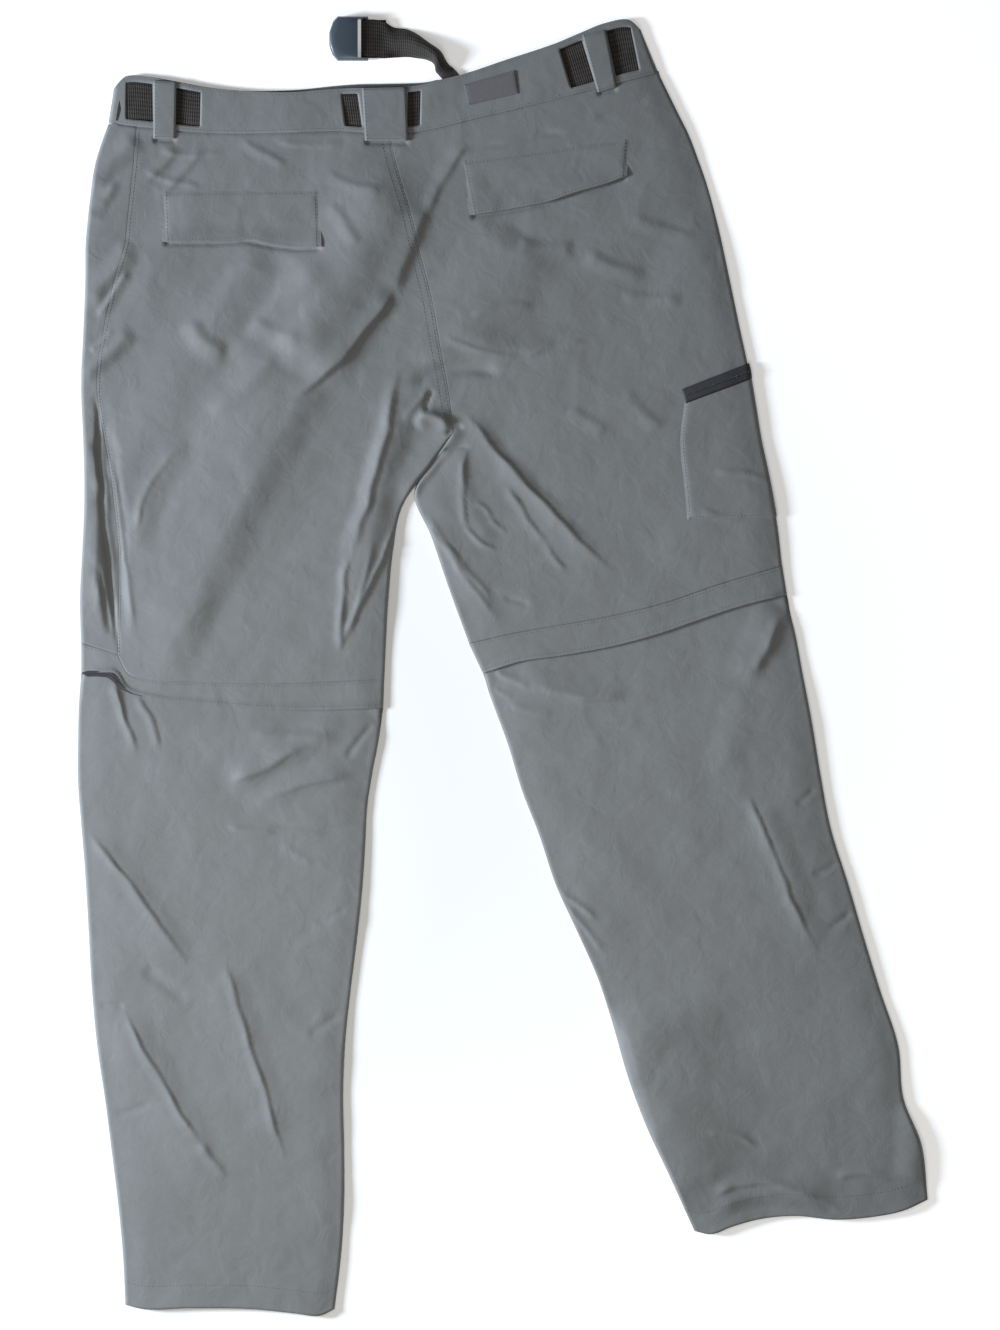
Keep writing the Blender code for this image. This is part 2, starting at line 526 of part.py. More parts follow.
def add_buckle():
    """Half of a side-release buckle: a housing with a chamfered mouth end, two arms and a bar."""
    middle_y = (BUCKLE_LOW_Y + BUCKLE_HIGH_Y) / 2
    half = (BUCKLE_HIGH_Y - BUCKLE_LOW_Y) / 2
    corner = np.array(BUCKLE_CORNER) * (1, -1) + (BUCKLE_MOUTH_X, half)
    side = np.concatenate([[(BUCKLE_END_X, half)], corner])
    outline = np.concatenate([side, side[::-1] * (1, -1)]) + (0, middle_y)
    centre = np.array([(BUCKLE_MOUTH_X + BUCKLE_END_X) / 2, middle_y])
    rings = []
    for inset, height in BUCKLE_RINGS:
        shrink = 1 - inset / half
        ring = centre + (outline - centre) * shrink
        ring[[0, -1], 0] = BUCKLE_END_X
        rings.append(np.column_stack([ring, np.full(len(ring), height)]))
    count = len(outline)
    points = np.concatenate(rings)
    faces = [tuple(range(count))[::-1], tuple(range(len(points) - count, len(points)))]
    for level in range(len(rings) - 1):
        for i in range(count):
            a, b = level * count + i, level * count + (i + 1) % count
            faces.append((a, b, b + count, a + count))
    buckle = add_body("buckle", points, faces, "buckle_plastic", smooth=False)
    arm_low, arm_high = BUCKLE_LOW_Y + BUCKLE_ARM, BUCKLE_HIGH_Y - BUCKLE_ARM
    above = BUCKLE_HEIGHT + 1
    cuts = (
        ((BUCKLE_MOUTH_X - 1, middle_y - MOUTH_WIDTH / 2, (BUCKLE_HEIGHT - MOUTH_HEIGHT) / 2),
         (BUCKLE_MOUTH_X + MOUTH_DEPTH, middle_y + MOUTH_WIDTH / 2, (BUCKLE_HEIGHT + MOUTH_HEIGHT) / 2)),
        ((BUCKLE_BACK_X, arm_low, -1), (BAR_X - BAR_HALF, arm_high, above)),
        ((BAR_X + BAR_HALF, arm_low, -1), (BUCKLE_END_X + 1, arm_high, above)),
        ((BAR_X - BAR_HALF - 0.1, arm_low, -1), (BAR_X + BAR_HALF + 0.1, arm_high, BAR_Z - BAR_HALF)),
        ((BAR_X - BAR_HALF - 0.1, arm_low, BAR_Z + BAR_HALF), (BAR_X + BAR_HALF + 0.1, arm_high, above)),
    )
    for low, high in cuts:
        cutter = add_box(low, high)
        cutter.hide_render = True
        cutter.display_type = "WIRE"
        cut = buckle.modifiers.new("cut", "BOOLEAN")
        cut.operation = "DIFFERENCE"
        cut.object = cutter


def add_thighs():
    """Back and front thighs, and the pieces that lie on the backs. Returns the zip seams' points."""
    centre_back = through(CENTRE_BACK, ROW_STEPS)
    centre_front = through(CENTRE_FRONT, ROW_STEPS)
    half = np.array([GAP / 2 + 0.05, 0])
    side = np.array(LEFT_SIDE, float)
    edge, outseam = through(side[:, :2], ROW_STEPS), through(side[:, 2:], ROW_STEPS)
    left_leg = through(LEFT_INSEAM, ROW_STEPS)[1:]
    right_leg = through(RIGHT_INSEAM, ROW_STEPS)[1:]
    seat_rows, leg_rows = len(centre_back), len(left_leg)
    fold = np.concatenate([np.zeros(seat_rows), [0.6], np.ones(leg_rows - 1)])
    none = np.zeros(len(fold))

    inner = np.concatenate([centre_back - half, left_leg])
    outer_border = outseam + half
    outer_border[0, 1] = waist_seam(outer_border[0, 0]) - WAIST_GAP
    inner[0, 1] = waist_seam(inner[0, 0]) - WAIST_GAP
    across = columns_between(LEFT_WIDTH, LEFT_FLAP_COLUMNS, False, True)
    top = waist_line(outer_border[0, 0], inner[0, 0])
    bottom = through(LEFT_ZIP_SEAM, SEAM_STEPS)
    bottom[0], bottom[-1] = outer_border[-1], inner[-1]
    plan = patch(top, bottom, outer_border, inner, across)
    left = turned_down(plan, none, fold)
    out = outward(left, none, fold)
    add_wall("back_left", left, left - out * CLOTH, "nylon")
    add_cover("pocket_flap_left", left, out, LEFT_FLAP_ROWS, LEFT_FLAP_COLUMNS, across)
    add_front_left(edge, outseam - half, centre_front - half, left_leg)

    inner = np.concatenate([centre_back + half, right_leg])
    border = through(RIGHT_SIDE, ROW_STEPS)
    border[0, 1] = waist_seam(border[0, 0]) - WAIST_GAP
    inner[0, 1] = waist_seam(inner[0, 0]) - WAIST_GAP
    across = columns_between(RIGHT_WIDTH, (*RIGHT_FLAP_COLUMNS, CARGO_COLUMN), True, True)
    top = waist_line(inner[0, 0], border[0, 0])
    bottom = through(RIGHT_ZIP_SEAM, SEAM_STEPS)
    plan = patch(top, bottom, inner, border, across)
    right = turned_down(plan, fold, none + 1)
    out = outward(right, fold, none + 1)
    add_wall("back_right", right, right - out * CLOTH, "nylon")
    add_cover("pocket_flap_right", right, out, RIGHT_FLAP_ROWS, RIGHT_FLAP_COLUMNS, across)
    cargo_top = add_cover("cargo_pocket", right, out, CARGO_ROWS, (CARGO_COLUMN, 1.0), across)
    add_cargo_zip(cargo_top)

    inner = np.concatenate([centre_front + half, right_leg])
    inner[0, 1] = waist_seam(inner[0, 0]) - WAIST_GAP
    top = waist_line(inner[0, 0], border[0, 0])
    add_flat("front_right", patch(top, np.stack([inner[-1], border[-1]]), inner, border, shares(top)))
    return left[-1, :, :2], right[-1, :, :2]


def waist_line(start_x, end_x):
    """Plan points just below the waistband, between two x."""
    stops = [row[3] for row in WAIST if start_x < row[3] < end_x]
    xs = np.array([start_x, *stops, end_x])
    return np.column_stack([xs, waist_seam(xs) - WAIST_GAP])


def add_cover(name, panel, out, rows, columns, across):
    """A piece that lies on a panel: a block of the panel's own points, moved out."""
    first, last = (int(row * ROW_STEPS) for row in rows)
    start, end = (int(np.abs(across - column).argmin()) for column in columns)
    block = (slice(first, last + 1), slice(start, end + 1))
    outer = panel[block] + out[block] * (GAP + CLOTH)
    add_wall(name, outer, panel[block] + out[block] * GAP, "nylon")
    return outer


def add_cargo_zip(pocket):
    """Zip along the cargo pocket's mouth, on the flat part of its top edge."""
    top = pocket[0, :-4]
    outer = np.stack([top, top + (pocket[1, :-4] - top) * CARGO_ZIP_SHARE]) + (0, 0, GAP + TAPE)
    add_wall("cargo_zip", outer, outer - (0, 0, TAPE), "zip_tape")


def add_front_left(edge, outseam, centre, leg):
    """Left front: flat on the surface, round the left side and back over the top to the outseam."""
    inner = np.concatenate([centre, leg])
    inner[0, 1] = waist_seam(inner[0, 0]) - WAIST_GAP
    edge, outseam = edge.copy(), outseam.copy()
    edge[0, 1] = waist_seam(edge[0, 0]) - WAIST_GAP
    outseam[0, 1] = waist_seam(outseam[0, 0]) - WAIST_GAP
    turn = edge + (WRAP_RADIUS, 0)
    top = waist_line(turn[0, 0], inner[0, 0])
    floor = patch(top, np.stack([turn[-1], inner[-1]]), turn, inner, shares(top))[:, ::-1]
    floor = np.dstack([floor, np.zeros(floor.shape[:2])])
    share = np.linspace(0, 1, 4)[None, :, None]
    strip = (1 - share) * turn[:, None] + share * outseam[:, None]
    strip = np.dstack([strip, top_height(strip[..., 0], strip[..., 1])])
    angle = np.radians([-50, -18, 18, 50])[None, :]
    middle = strip[:, :1, 2] / 2
    side = np.dstack([turn[:, :1] - WRAP_RADIUS * np.cos(angle), np.repeat(turn[:, 1:], 4, axis=1),
                      middle + middle * np.sin(angle)])
    outer = np.concatenate([floor, side, strip], axis=1)
    add_wall("front_left", outer, outer - outward(outer) * CLOTH, "nylon")


def add_band(name, top, bottom):
    """Flap band over a knee zip: from the thigh's lower edge to its own free edge."""
    share = np.array([0, 0.5, 1])[:, None, None]
    plan = (1 - share) * top + share * bottom
    folded = np.ones(len(plan))
    outer = turned_down(plan, folded, folded)
    add_wall(name, outer, outer - outward(outer, 1, 1) * CLOTH, "nylon")


def add_knee(side, seam, edge, leg, hem):
    """One knee and lower leg: band over and under, ring of zip tape, lower back and lower front."""
    left_edge, right_edge = seam[0], seam[-1]
    band_edge = along(edge, shares(seam))
    add_band(f"zip_band_{side}", seam - (0, GAP), band_edge)

    under_top = np.stack([left_edge, right_edge]) - (0, GAP)
    under_edge = np.stack([band_edge[0], band_edge[-1]])
    add_flat(f"zip_band_under_{side}", np.stack([under_top, under_edge]))

    table = np.array(leg, float)
    borders = through(table, ROW_STEPS)
    left, right, tuck = borders[:, :2], borders[:, 2:4], np.clip(borders[:, 4], 0, 1)
    inset = TUCK_INSET * tuck[:, None] * (1, 0)
    top = edge + (0, TUCK_OVERLAP)
    top[0], top[-1] = left[0], right[0]
    columns = columns_between(LEG_WIDTH, (), True, True)
    plan = patch(along(top, np.linspace(0, 1, 60)), hem, left, right, columns)
    plan = plan + inset[:, None] * (1 - 2 * columns)[None, :, None]
    folded = np.ones(len(plan))
    outer = turned_down(plan, folded, folded, tuck)
    add_wall(f"lower_back_{side}", outer, outer - outward(outer, 1, 1) * CLOTH, "nylon")

    below = left[:, 1] < band_edge[0, 1] - GAP
    front_left = np.concatenate([[band_edge[0] - (0, GAP)], left[below]])
    front_right = np.concatenate([[band_edge[-1] - (0, GAP)], right[below]])
    add_flat(f"lower_front_{side}", patch(np.stack([front_left[0], front_right[0]]), hem, front_left,
                                          front_right, np.linspace(0, 1, 9)))
    add_zip_ring(side, seam, outer[0])


def add_zip_ring(side, seam, lower_top):
    """Zip tape as a flattened ring: under the band on the back and over it on the front."""
    flat = slice(len(EDGE_COLUMNS) - 1, 1 - len(EDGE_COLUMNS))
    lower = lower_top[flat, :2] + (0, 2 * GAP)
    upper = np.column_stack([lower[:, 0], np.interp(lower[:, 0], seam[:, 0], seam[:, 1]) - 3 * GAP])
    back = np.stack([upper, lower])
    back = np.dstack([back, top_height(back[..., 0], back[..., 1]) - TUCK_DEPTH])
    front = np.stack([np.linspace(row[-1], row[0], 8) for row in back[..., :2]])
    front = np.dstack([front, np.full(front.shape[:2], BELT_FRONT)])
    turns = []
    for before, after, sign in ((back[:, -1:], front[:, :1], 1), (front[:, -1:], back[:, :1], -1)):
        middle = (before + after) / 2
        turns.append(middle + (sign * np.abs(before - after)[..., 2:] / 2) * (1, 0, 0))
    ring = np.concatenate([back, turns[0], front, turns[1]], axis=1)
    add_wall(f"knee_zip_{side}", ring, ring - outward(ring, ring=True) * TAPE, "zip_tape", ring=True)


def main():
    """Clear the scene and build the trousers."""
    for old in list(bpy.data.objects):
        bpy.data.objects.remove(old)
    add_waistband()
    add_belt()
    add_belt_end()
    add_buckle()
    left_seam, right_seam = add_thighs()
    left_strip = np.array([LEFT_SIDE[-1][:2], LEFT_SIDE[-1][2:]], float)
    left_edge = through(LEFT_BAND_EDGE, SEAM_STEPS)
    roll = along(left_strip, np.array([*EDGE_COLUMNS, 20.0]) / np.ptp(left_strip[:, 0]))
    right_edge = through(RIGHT_BAND_EDGE, SEAM_STEPS)
    add_knee("left", np.concatenate([roll, left_seam]), left_edge, LEFT_LOWER, through(LEFT_HEM, HEM_STEPS))
    add_knee("right", right_seam, right_edge, RIGHT_LOWER, through(RIGHT_HEM, HEM_STEPS))


main()
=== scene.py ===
"""Looks of convertible zip-off trousers that lie flat with the back up.

Tables and helpers are in millimetres, meshes and lights in metres. +Z is up, X runs across the waist
and +Y runs from the hems to the waist. The wearer's left leg is on the -X side.
"""

import bmesh
import bpy
import numpy as np
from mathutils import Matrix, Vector


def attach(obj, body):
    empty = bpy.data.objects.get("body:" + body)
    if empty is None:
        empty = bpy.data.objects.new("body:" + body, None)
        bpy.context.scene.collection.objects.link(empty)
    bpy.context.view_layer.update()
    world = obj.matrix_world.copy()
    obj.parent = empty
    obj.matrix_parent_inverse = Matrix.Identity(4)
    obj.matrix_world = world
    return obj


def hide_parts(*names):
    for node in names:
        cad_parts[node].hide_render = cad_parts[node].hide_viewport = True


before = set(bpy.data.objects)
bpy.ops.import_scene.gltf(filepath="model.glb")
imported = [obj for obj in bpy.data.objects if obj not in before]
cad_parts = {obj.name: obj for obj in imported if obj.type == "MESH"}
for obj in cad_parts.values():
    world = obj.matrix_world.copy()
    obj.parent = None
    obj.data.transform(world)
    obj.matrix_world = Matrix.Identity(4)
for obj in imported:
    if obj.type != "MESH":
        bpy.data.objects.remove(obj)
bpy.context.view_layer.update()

MM = 0.001

# Layers, from the surface up, as in the solids.
CLOTH = 1.2
WEBBING = 1.2
GAP = 0.3
WAIST_GAP = 0.6
BELT_FRONT = CLOTH + GAP
BELT_BACK = BELT_FRONT + WEBBING + GAP
LOFT = BELT_BACK + WEBBING + GAP + CLOTH
LOWEST_TOP = 2 * CLOTH + 2 * GAP
TURN_WIDTH = 3.5
BELT_TURN = 6.0
SIDE_SLOPE, SIDE_DROP = 16.0, 1.7
WRAP_RADIUS = 4.0
TUCK_DEPTH = CLOTH + GAP + 0.2
TUCK_INSET = CLOTH + GAP + 0.3
TUCK_OVERLAP = 5.0
WEBBING_WIDTH = 38.0
WAISTBAND_HEIGHT = 45.0
BELT_ENDS = (-68.0, -30.0)
HALF_SEAM_GAP = (0.12, 0)

# How far a panel runs under its neighbour at a seam and under the waistband. Then depth and width of
# the dip beside an edge: none, one that lies under its neighbour, under the waistband, at the left
# outseam and at the seat's seam.
SEAM_LAP = 1.2
WAIST_LAP = 2.0
NO_DIP = (0.0, 1.0)
LAP_DIP = (0.8, 0.8)
WAIST_DIP = (WAIST_LAP, 2.5)
OUTSEAM_DIP = (0.15, 3.0)
SEAT_DIP = (0.05, 3.0)

# How far a band's free edge lifts, and the share of its height where that starts.
BAND_LIFT, BAND_FREE_FROM = 1.2, 0.65

# The shown cloth: thickness, spacing of its grid, and how finely it starts beside an edge.
SHELL = 0.9
GRID = 2.0
EDGE_STEPS = (0, 0.35, 0.9, 1.7, 2.8, 4.2, 6.0)

# Waistband stations from left to right: top x, y, bottom x, y, rise of the front half's top.
WAIST = {
    "left fold": (-372, 548, -377, 515, 0),
    "left corner": (-364, 557, -369, 514.5, 0),
    "first window": (-360, 559.5, -360, 513, 0),
    "left loop": (-335, 558.5, -334, 510, 0),
    "second window": (-312, 554.5, -315, 508, 0),
    "left run": (-289, 550, -290, 506, 0),
    "left middle": (-248, 545.5, -248, 505, 0.5),
    "middle": (-205, 544.5, -205, 506, 2),
    "third window": (-156, 548, -151, 507, 3),
    "centre loop": (-141, 548.5, -135, 505.8, 3.5),
    "centre": (-115, 549, -113, 505.4, 3.5),
    "fourth window": (-92, 550, -93, 505.8, 3),
    "right run": (-80, 551.5, -81, 507, 2),
    "bend": (-62, 556, -57, 511.8, 1),
    "patch left": (-40, 561.5, -31, 518.5, 0),
    "patch right": (5, 576.5, 17, 529.5, 0),
    "right middle": (27, 583.5, 41, 535.5, 0),
    "fifth window": (50, 591.5, 65, 541.8, 0),
    "right loop": (71, 600.5, 87, 547.5, 0),
    "sixth window": (95, 610, 107, 552.7, 0),
    "right corner": (118, 613, 129, 558.4, 0),
    "right fold": (129, 604, 146, 562.8, 0),
}
WINDOWS = ("first window", "second window", "third window", "fourth window", "fifth window", "sixth window")
WINDOW_SHARES = (0.13, 0.87)

# Seams of the seat from the waist to the crotch, and the legs' sides: x, y.
CROTCH = (-48.5, 222)
CENTRE_BACK = ((-110, 505), (-103, 475), (-98, 458), (-86, 416), (-81, 393), (-69, 345), (-62, 305),
               (-54, 262), CROTCH)
CENTRE_FRONT = ((-56, 512), (-54, 480), (-52, 458), (-50, 416), (-49, 393), (-48.5, 345), (-48.5, 305),
                (-48.5, 262), CROTCH)
LEFT_SIDE = (
    (-377, 515, -350, 512), (-390, 474, -353, 474), (-394, 446, -356, 446), (-397, 420, -359, 420),
    (-398.5, 403, -360.5, 403), (-399, 365, -371, 365), (-401, 315, -382, 315), (-403, 265, -388, 266),
    (-401, 215, -381, 215), (-400, 183, -375, 183), (-400, 150, -371, 150), (-402, 105, -367, 105),
    (-404, 62, -367, 62), (-403, 20, -368, 10),
)
LEFT_INSEAM = (CROTCH, (-69, 191), (-98, 150), (-107, 105), (-111, 62), (-115, -14))
RIGHT_SIDE = (
    (146, 562.8), (166, 522), (174, 506), (184, 480), (190, 463), (202, 420), (213, 370), (223, 322),
    (232, 280), (238, 245), (243, 215), (251, 178), (259, 133), (263.5, 94),
)
RIGHT_INSEAM = (CROTCH, (-70.5, 192), (-86, 166), (-70, 122), (-53, 72), (-34, 20))
LEFT_ZIP_SEAM = ((-368, 10), (-358, -8), (-337, -14), (-290, -17), (-204, -18), (-115, -14))
LEFT_BAND_EDGE = ((-403, -7), (-385, -7), (-371, -8), (-358, -24), (-337, -31), (-290, -37), (-204, -43),
                  (-116, -41))
RIGHT_ZIP_SEAM = ((-34, 20), (10, 30), (50, 37), (100, 46), (150, 58), (200, 75), (263.5, 94))
RIGHT_BAND_EDGE = ((-21, -8), (13, 3), (54, 9), (103, 18), (150, 31), (176, 40), (224, 56), (268, 67))

# Where the left knee zip's end shows: its upper edge, and its width at shares of that edge. Its black tape
# is partly the real zip and partly painted shade, widest where the gap under the band's kink is darkest.
ZIP_END = ((-402, -7.5), (-385, -7.5), (-374, -9.5), (-366, -19), (-357, -25), (-345, -29.5))
ZIP_END_SHARES = (0, 0.08, 0.36, 0.46, 0.58, 0.75, 1)
ZIP_END_SHADE_WIDTHS = (0.6, 3.6, 3.6, 5.5, 4.0, 2.0, 0.4)

# Lower legs: left x, y, right x, y, share of the tuck under the band.
LEFT_LOWER = (
    (-403, -2, -116, -36, 1), (-403, -9, -116.5, -43, 1), (-404, -22, -118, -56, 0.5),
    (-405, -36, -120, -70, 0), (-406, -72, -126, -101, 0), (-406, -110, -131, -134, 0),
    (-403, -150, -133, -170, 0), (-399, -200, -136, -215, 0), (-396, -250, -141, -262, 0),
    (-393, -305, -147, -310, 0), (-388, -360, -152, -358, 0), (-380, -415, -154, -408, 0),
    (-373, -470, -153, -460, 0), (-367, -520, -153, -512, 0), (-363, -565, -156, -562, 0),
    (-361, -608, -162, -612, 0),
)
LEFT_HEM = ((-361, -608), (-350, -611), (-300, -611), (-240, -612), (-200, -616), (-175, -618), (-162, -612))
RIGHT_LOWER = (
    (-23, -3, 267, 72, 1), (-20, -10, 268.5, 65, 1), (-16, -24, 271, 50, 0.5), (-11, -38, 275, 34, 0),
    (3, -76, 283, -8, 0), (16, -119, 292, -55, 0), (32, -160, 300, -104, 0), (48, -208, 310, -156, 0),
    (68, -252, 327, -210, 0), (88, -297, 341, -258, 0), (103, -343, 357, -310, 0),
    (117, -392, 374, -362, 0), (135, -440, 379, -412, 0), (156, -485, 396, -455, 0),
    (180, -538, 402, -508, 0),
)
RIGHT_HEM = ((180, -538), (195, -541), (215, -534), (240, -527), (275, -523.5), (315, -527), (345, -525),
             (380, -518), (402, -508))

# Folds and creases, each a quadratic curve: start, bend, end, width left and right of someone walking
# from start to end, height (below zero for a trough), and sharpness of the crest from 0 to 1.
LARGE_FOLDS = (
    ((-92, 480), (-158, 352), (-204, 276), 60, 60, 8.5, 0),
    ((16, 415), (-20, 360), (-52, 296), 70, 52, 3.6, 0),
    ((108, -318), (140, -425), (172, -530), 112, 24, 7.5, 0),
    ((-40, 226), (-70, 198), (-98, 150), 12, 24, 3.4, 0.2),
    ((-170, 300), (-250, 165), (-335, -20), 34, 80, 4.8, 0.1),
    ((-172, 392), (-225, 345), (-264, 285), 26, 34, 3.2, 0),
    ((-222, 392), (-262, 345), (-290, 290), 26, 30, 2.6, 0),
    ((-388, 262), (-360, 140), (-368, 22), 13, 13, -2.2, 0),
    ((-395, 235), (-382, 130), (-388, 25), 12, 12, 2.2, 0),
    ((-345, 502), (-372, 482), (-397, 448), 14, 18, 2.8, 0.2),
    ((-350, 400), (-376, 372), (-400, 342), 16, 18, 3.2, 0.2),
    ((-352, 320), (-378, 298), (-404, 268), 14, 16, 2.6, 0.2),
    ((-300, 212), (-342, 180), (-352, 95), 20, 24, 2.0, 0.2),
    ((-88, 228), (-70, 240), (-50, 230), 14, 14, 3.4, 0.1),
    ((-96, 262), (-116, 175), (-150, 40), 20, 26, 2.4, 0.2),
    ((-40, 240), (15, 170), (100, 92), 13, 26, 1.5, 0.2),
    ((-45, 215), (-42, 150), (-8, 112), 13, 20, 1.0, 0.2),
    ((-72, 146), (-45, 92), (-2, 36), 14, 20, 1.0, 0.2),
    ((-92, 292), (-30, 300), (55, 304), 26, 14, 2.2, 0.1),
    ((-264, -112), (-212, -92), (-150, -48), 26, 18, 2.2, 0.2),
    ((-246, -140), (-205, -110), (-142, -102), 22, 14, 1.8, 0.2),
    ((-399, -155), (-350, -212), (-302, -292), 22, 40, 1.6, 0.2),
    ((-272, -280), (-243, -360), (-210, -460), 22, 34, 1.4, 0.2),
    ((-366, -322), (-322, -405), (-272, -488), 22, 40, 1.8, 0.2),
    ((10, -14), (62, -32), (124, -26), 24, 14, 1.6, 0.2),
    ((266, 56), (250, 22), (226, -22), 14, 32, 2.2, 0.3),
    ((238, -120), (268, -195), (300, -280), 20, 34, 1.5, 0.2),
    ((190, -522), (250, -486), (312, -516), 30, 14, 3.2, 0.2),
    ((384, -412), (394, -458), (388, -500), 24, 22, 3.0, 0.1),
)
LEFT_THIGH_CREASES = (
    ((-104, 360), (-135, 300), (-203, 250), 4, 20, 3.0, 0.7),
    ((-72, 440), (-92, 395), (-106, 352), 10, 22, 2.2, 0.4),
    ((-389, 262), (-384, 140), (-367, 8), 5, 5, -2.8, 0.6),
    ((-376, 210), (-362, 120), (-352, 25), 5, 9, 1.3, 0.6),
    ((-396, 180), (-388, 100), (-380, 20), 5, 7, 1.2, 0.5),
    ((-387, 101), (-382, 65), (-374, 26), 4, 5, -1.5, 0.6),
    ((-309, 205), (-342, 182), (-352, 120), 4, 9, 1.3, 0.7),
    ((-101, 286), (-118, 180), (-150, 100), 7, 14, 2.6, 0.6),
    ((-148, 108), (-157, 60), (-156, 12), 5, 9, 1.8, 0.6),
    ((-107, 132), (-118, 88), (-161, 10), 4, 8, 1.7, 0.8),
    ((-126, 120), (-134, 70), (-150, 20), 4, 6, 1.0, 0.6),
    ((-300, 332), (-292, 300), (-262, 296), 12, 20, 1.8, 0.2),
    ((-240, 330), (-225, 312), (-192, 308), 10, 18, 1.3, 0.2),
    ((-215, 300), (-245, 262), (-282, 235), 16, 28, 1.6, 0.2),
    ((-388, 330), (-374, 350), (-356, 378), 6, 10, 1.8, 0.5),
    ((-394, 420), (-384, 442), (-366, 462), 6, 10, 1.6, 0.5),
    ((-396, 298), (-386, 306), (-370, 322), 5, 8, 1.3, 0.5),
    ((-330, 490), (-300, 478), (-262, 488), 8, 4, 0.9, 0.5),
    ((-345, 472), (-318, 454), (-288, 456), 8, 4, 0.9, 0.5),
    ((-222, 500), (-185, 489), (-150, 498), 8, 4, 0.9, 0.5),
    ((-310, 490), (-328, 475), (-345, 455), 6, 11, 1.0, 0.5),
    ((-285, 492), (-310, 462), (-332, 442), 6, 12, 1.0, 0.4),
    ((-250, 498), (-232, 484), (-205, 474), 7, 9, 0.9, 0.4),
    ((-170, 470), (-150, 450), (-112, 452), 7, 10, 1.1, 0.4),
    ((-170, 440), (-150, 420), (-140, 395), 8, 14, 1.1, 0.3),
)
SEAT_CREASES = (
    ((-92, 262), (-60, 288), (0, 276), 14, 8, -2.4, 0.3),
    ((-66, 262), (-76, 246), (-72, 238), 4, 7, -2.2, 0.5),
    ((-84, 236), (-68, 240), (-50, 226), 8, 7, 2.6, 0.3),
    ((-58, 219), (-50, 226), (-40, 226), 4, 4, -2.6, 0.6),
    ((-58, 205), (-50, 208), (-34, 205), 3.5, 4, -1.8, 0.6),
    ((-55, 205), (-72, 188), (-92, 160), 4, 4, -1.6, 0.5),
    ((-96, 232), (-88, 246), (-70, 262), 5, 6, 1.5, 0.5),
    ((-39, 243), (5, 178), (110, 83), 3.5, 13, 1.7, 0.85),
    ((0, 174), (24, 128), (42, 118), 3.5, 9, 1.4, 0.8),
    ((40, 120), (43, 102), (58, 91), 3.5, 7, 1.1, 0.7),
    ((-37, 212), (-44, 150), (-34, 129), 3.5, 8, 1.5, 0.8),
    ((-37, 132), (-28, 116), (-5, 110), 3.5, 6, 1.2, 0.7),
    ((-28, 152), (-18, 153), (-14, 138), 3.5, 5, 1.0, 0.6),
    ((-16, 140), (-8, 132), (2, 125), 3.5, 5, 1.0, 0.6),
    ((-60, 118), (-38, 96), (-12, 62), 3.5, 6, 1.2, 0.7),
    ((-74, 136), (-55, 106), (-38, 86), 3.5, 6, 1.1, 0.6),
    ((-76, 150), (-48, 96), (-5, 40), 4, 6, 1.0, 0.6),
    ((0, 64), (12, 60), (22, 56), 4, 5, -0.9, 0.5),
    ((-58, 316), (-30, 290), (24, 295), 3.5, 7, 1.0, 0.7),
    ((20, 294), (46, 306), (78, 309), 3.5, 6, 0.9, 0.7),
    ((-36, 330), (-8, 344), (30, 340), 6, 10, 0.8, 0.3),
    ((10, 402), (34, 392), (70, 398), 10, 18, 1.4, 0.2),
    ((75, 392), (100, 378), (135, 372), 9, 16, 1.4, 0.2),
    ((110, 352), (138, 345), (170, 350), 8, 14, 1.1, 0.2),
    ((60, 245), (78, 232), (98, 222), 9, 14, 1.1, 0.2),
    ((110, 262), (130, 240), (150, 222), 9, 14, 0.9, 0.2),
    ((-45, 487), (0, 497), (60, 508), 5, 6, -1.3, 0.3),
    ((85, 520), (110, 527), (142, 540), 6, 8, -0.9, 0.3),
    ((-35, 498), (-58, 470), (-75, 425), 6, 14, 1.6, 0.5),
    ((120, 430), (145, 410), (182, 408), 8, 14, 1.0, 0.3),
    ((200, 185), (225, 184), (250, 175), 4, 6, 1.4, 0.7),
    ((185, 148), (205, 136), (232, 142), 5, 7, 0.9, 0.4),
)
RIGHT_LEG_CREASES = (
    ((-12, -5), (2, -13), (24, -22), 10, 3.5, 1.5, 0.7),
    ((-10, -22), (-4, -28), (8, -30), 6, 3.5, 1.0, 0.6),
    ((32, -23), (62, -36), (114, -32), 11, 3.5, 1.4, 0.7),
    ((2, -36), (22, -46), (48, -47), 8, 4, 0.8, 0.5),
    ((262, 46), (252, 20), (238, -8), 4, 12, 1.6, 0.6),
    ((234, -20), (216, -60), (210, -105), 22, 26, 0.9, 0.1),
    ((232, -118), (250, -180), (298, -274), 3.5, 12, 1.4, 0.8),
    ((295, -115), (288, -128), (276, -134), 5, 6, -1.0, 0.4),
    ((318, -185), (306, -196), (292, -200), 5, 6, -1.0, 0.4),
    ((330, -235), (320, -246), (306, -250), 5, 6, -1.0, 0.4),
    ((50, -217), (66, -226), (90, -243), 8, 3.5, 1.2, 0.7),
    ((58, -228), (74, -248), (95, -276), 7, 4, 1.0, 0.5),
    ((198, -505), (228, -484), (266, -496), 12, 4, 1.7, 0.5),
    ((252, -496), (285, -499), (322, -520), 11, 4, 1.3, 0.6),
    ((315, -490), (340, -478), (382, -490), 10, 4, 1.3, 0.6),
    ((190, -446), (215, -440), (240, -460), 9, 4, 1.1, 0.5),
    ((120, -375), (185, -425), (250, -470), 42, 60, -1.8, 0),
    ((55, -150), (120, -190), (160, -260), 30, 34, 1.0, 0),
    ((150, -60), (175, -130), (182, -200), 30, 30, 0.9, 0),
)
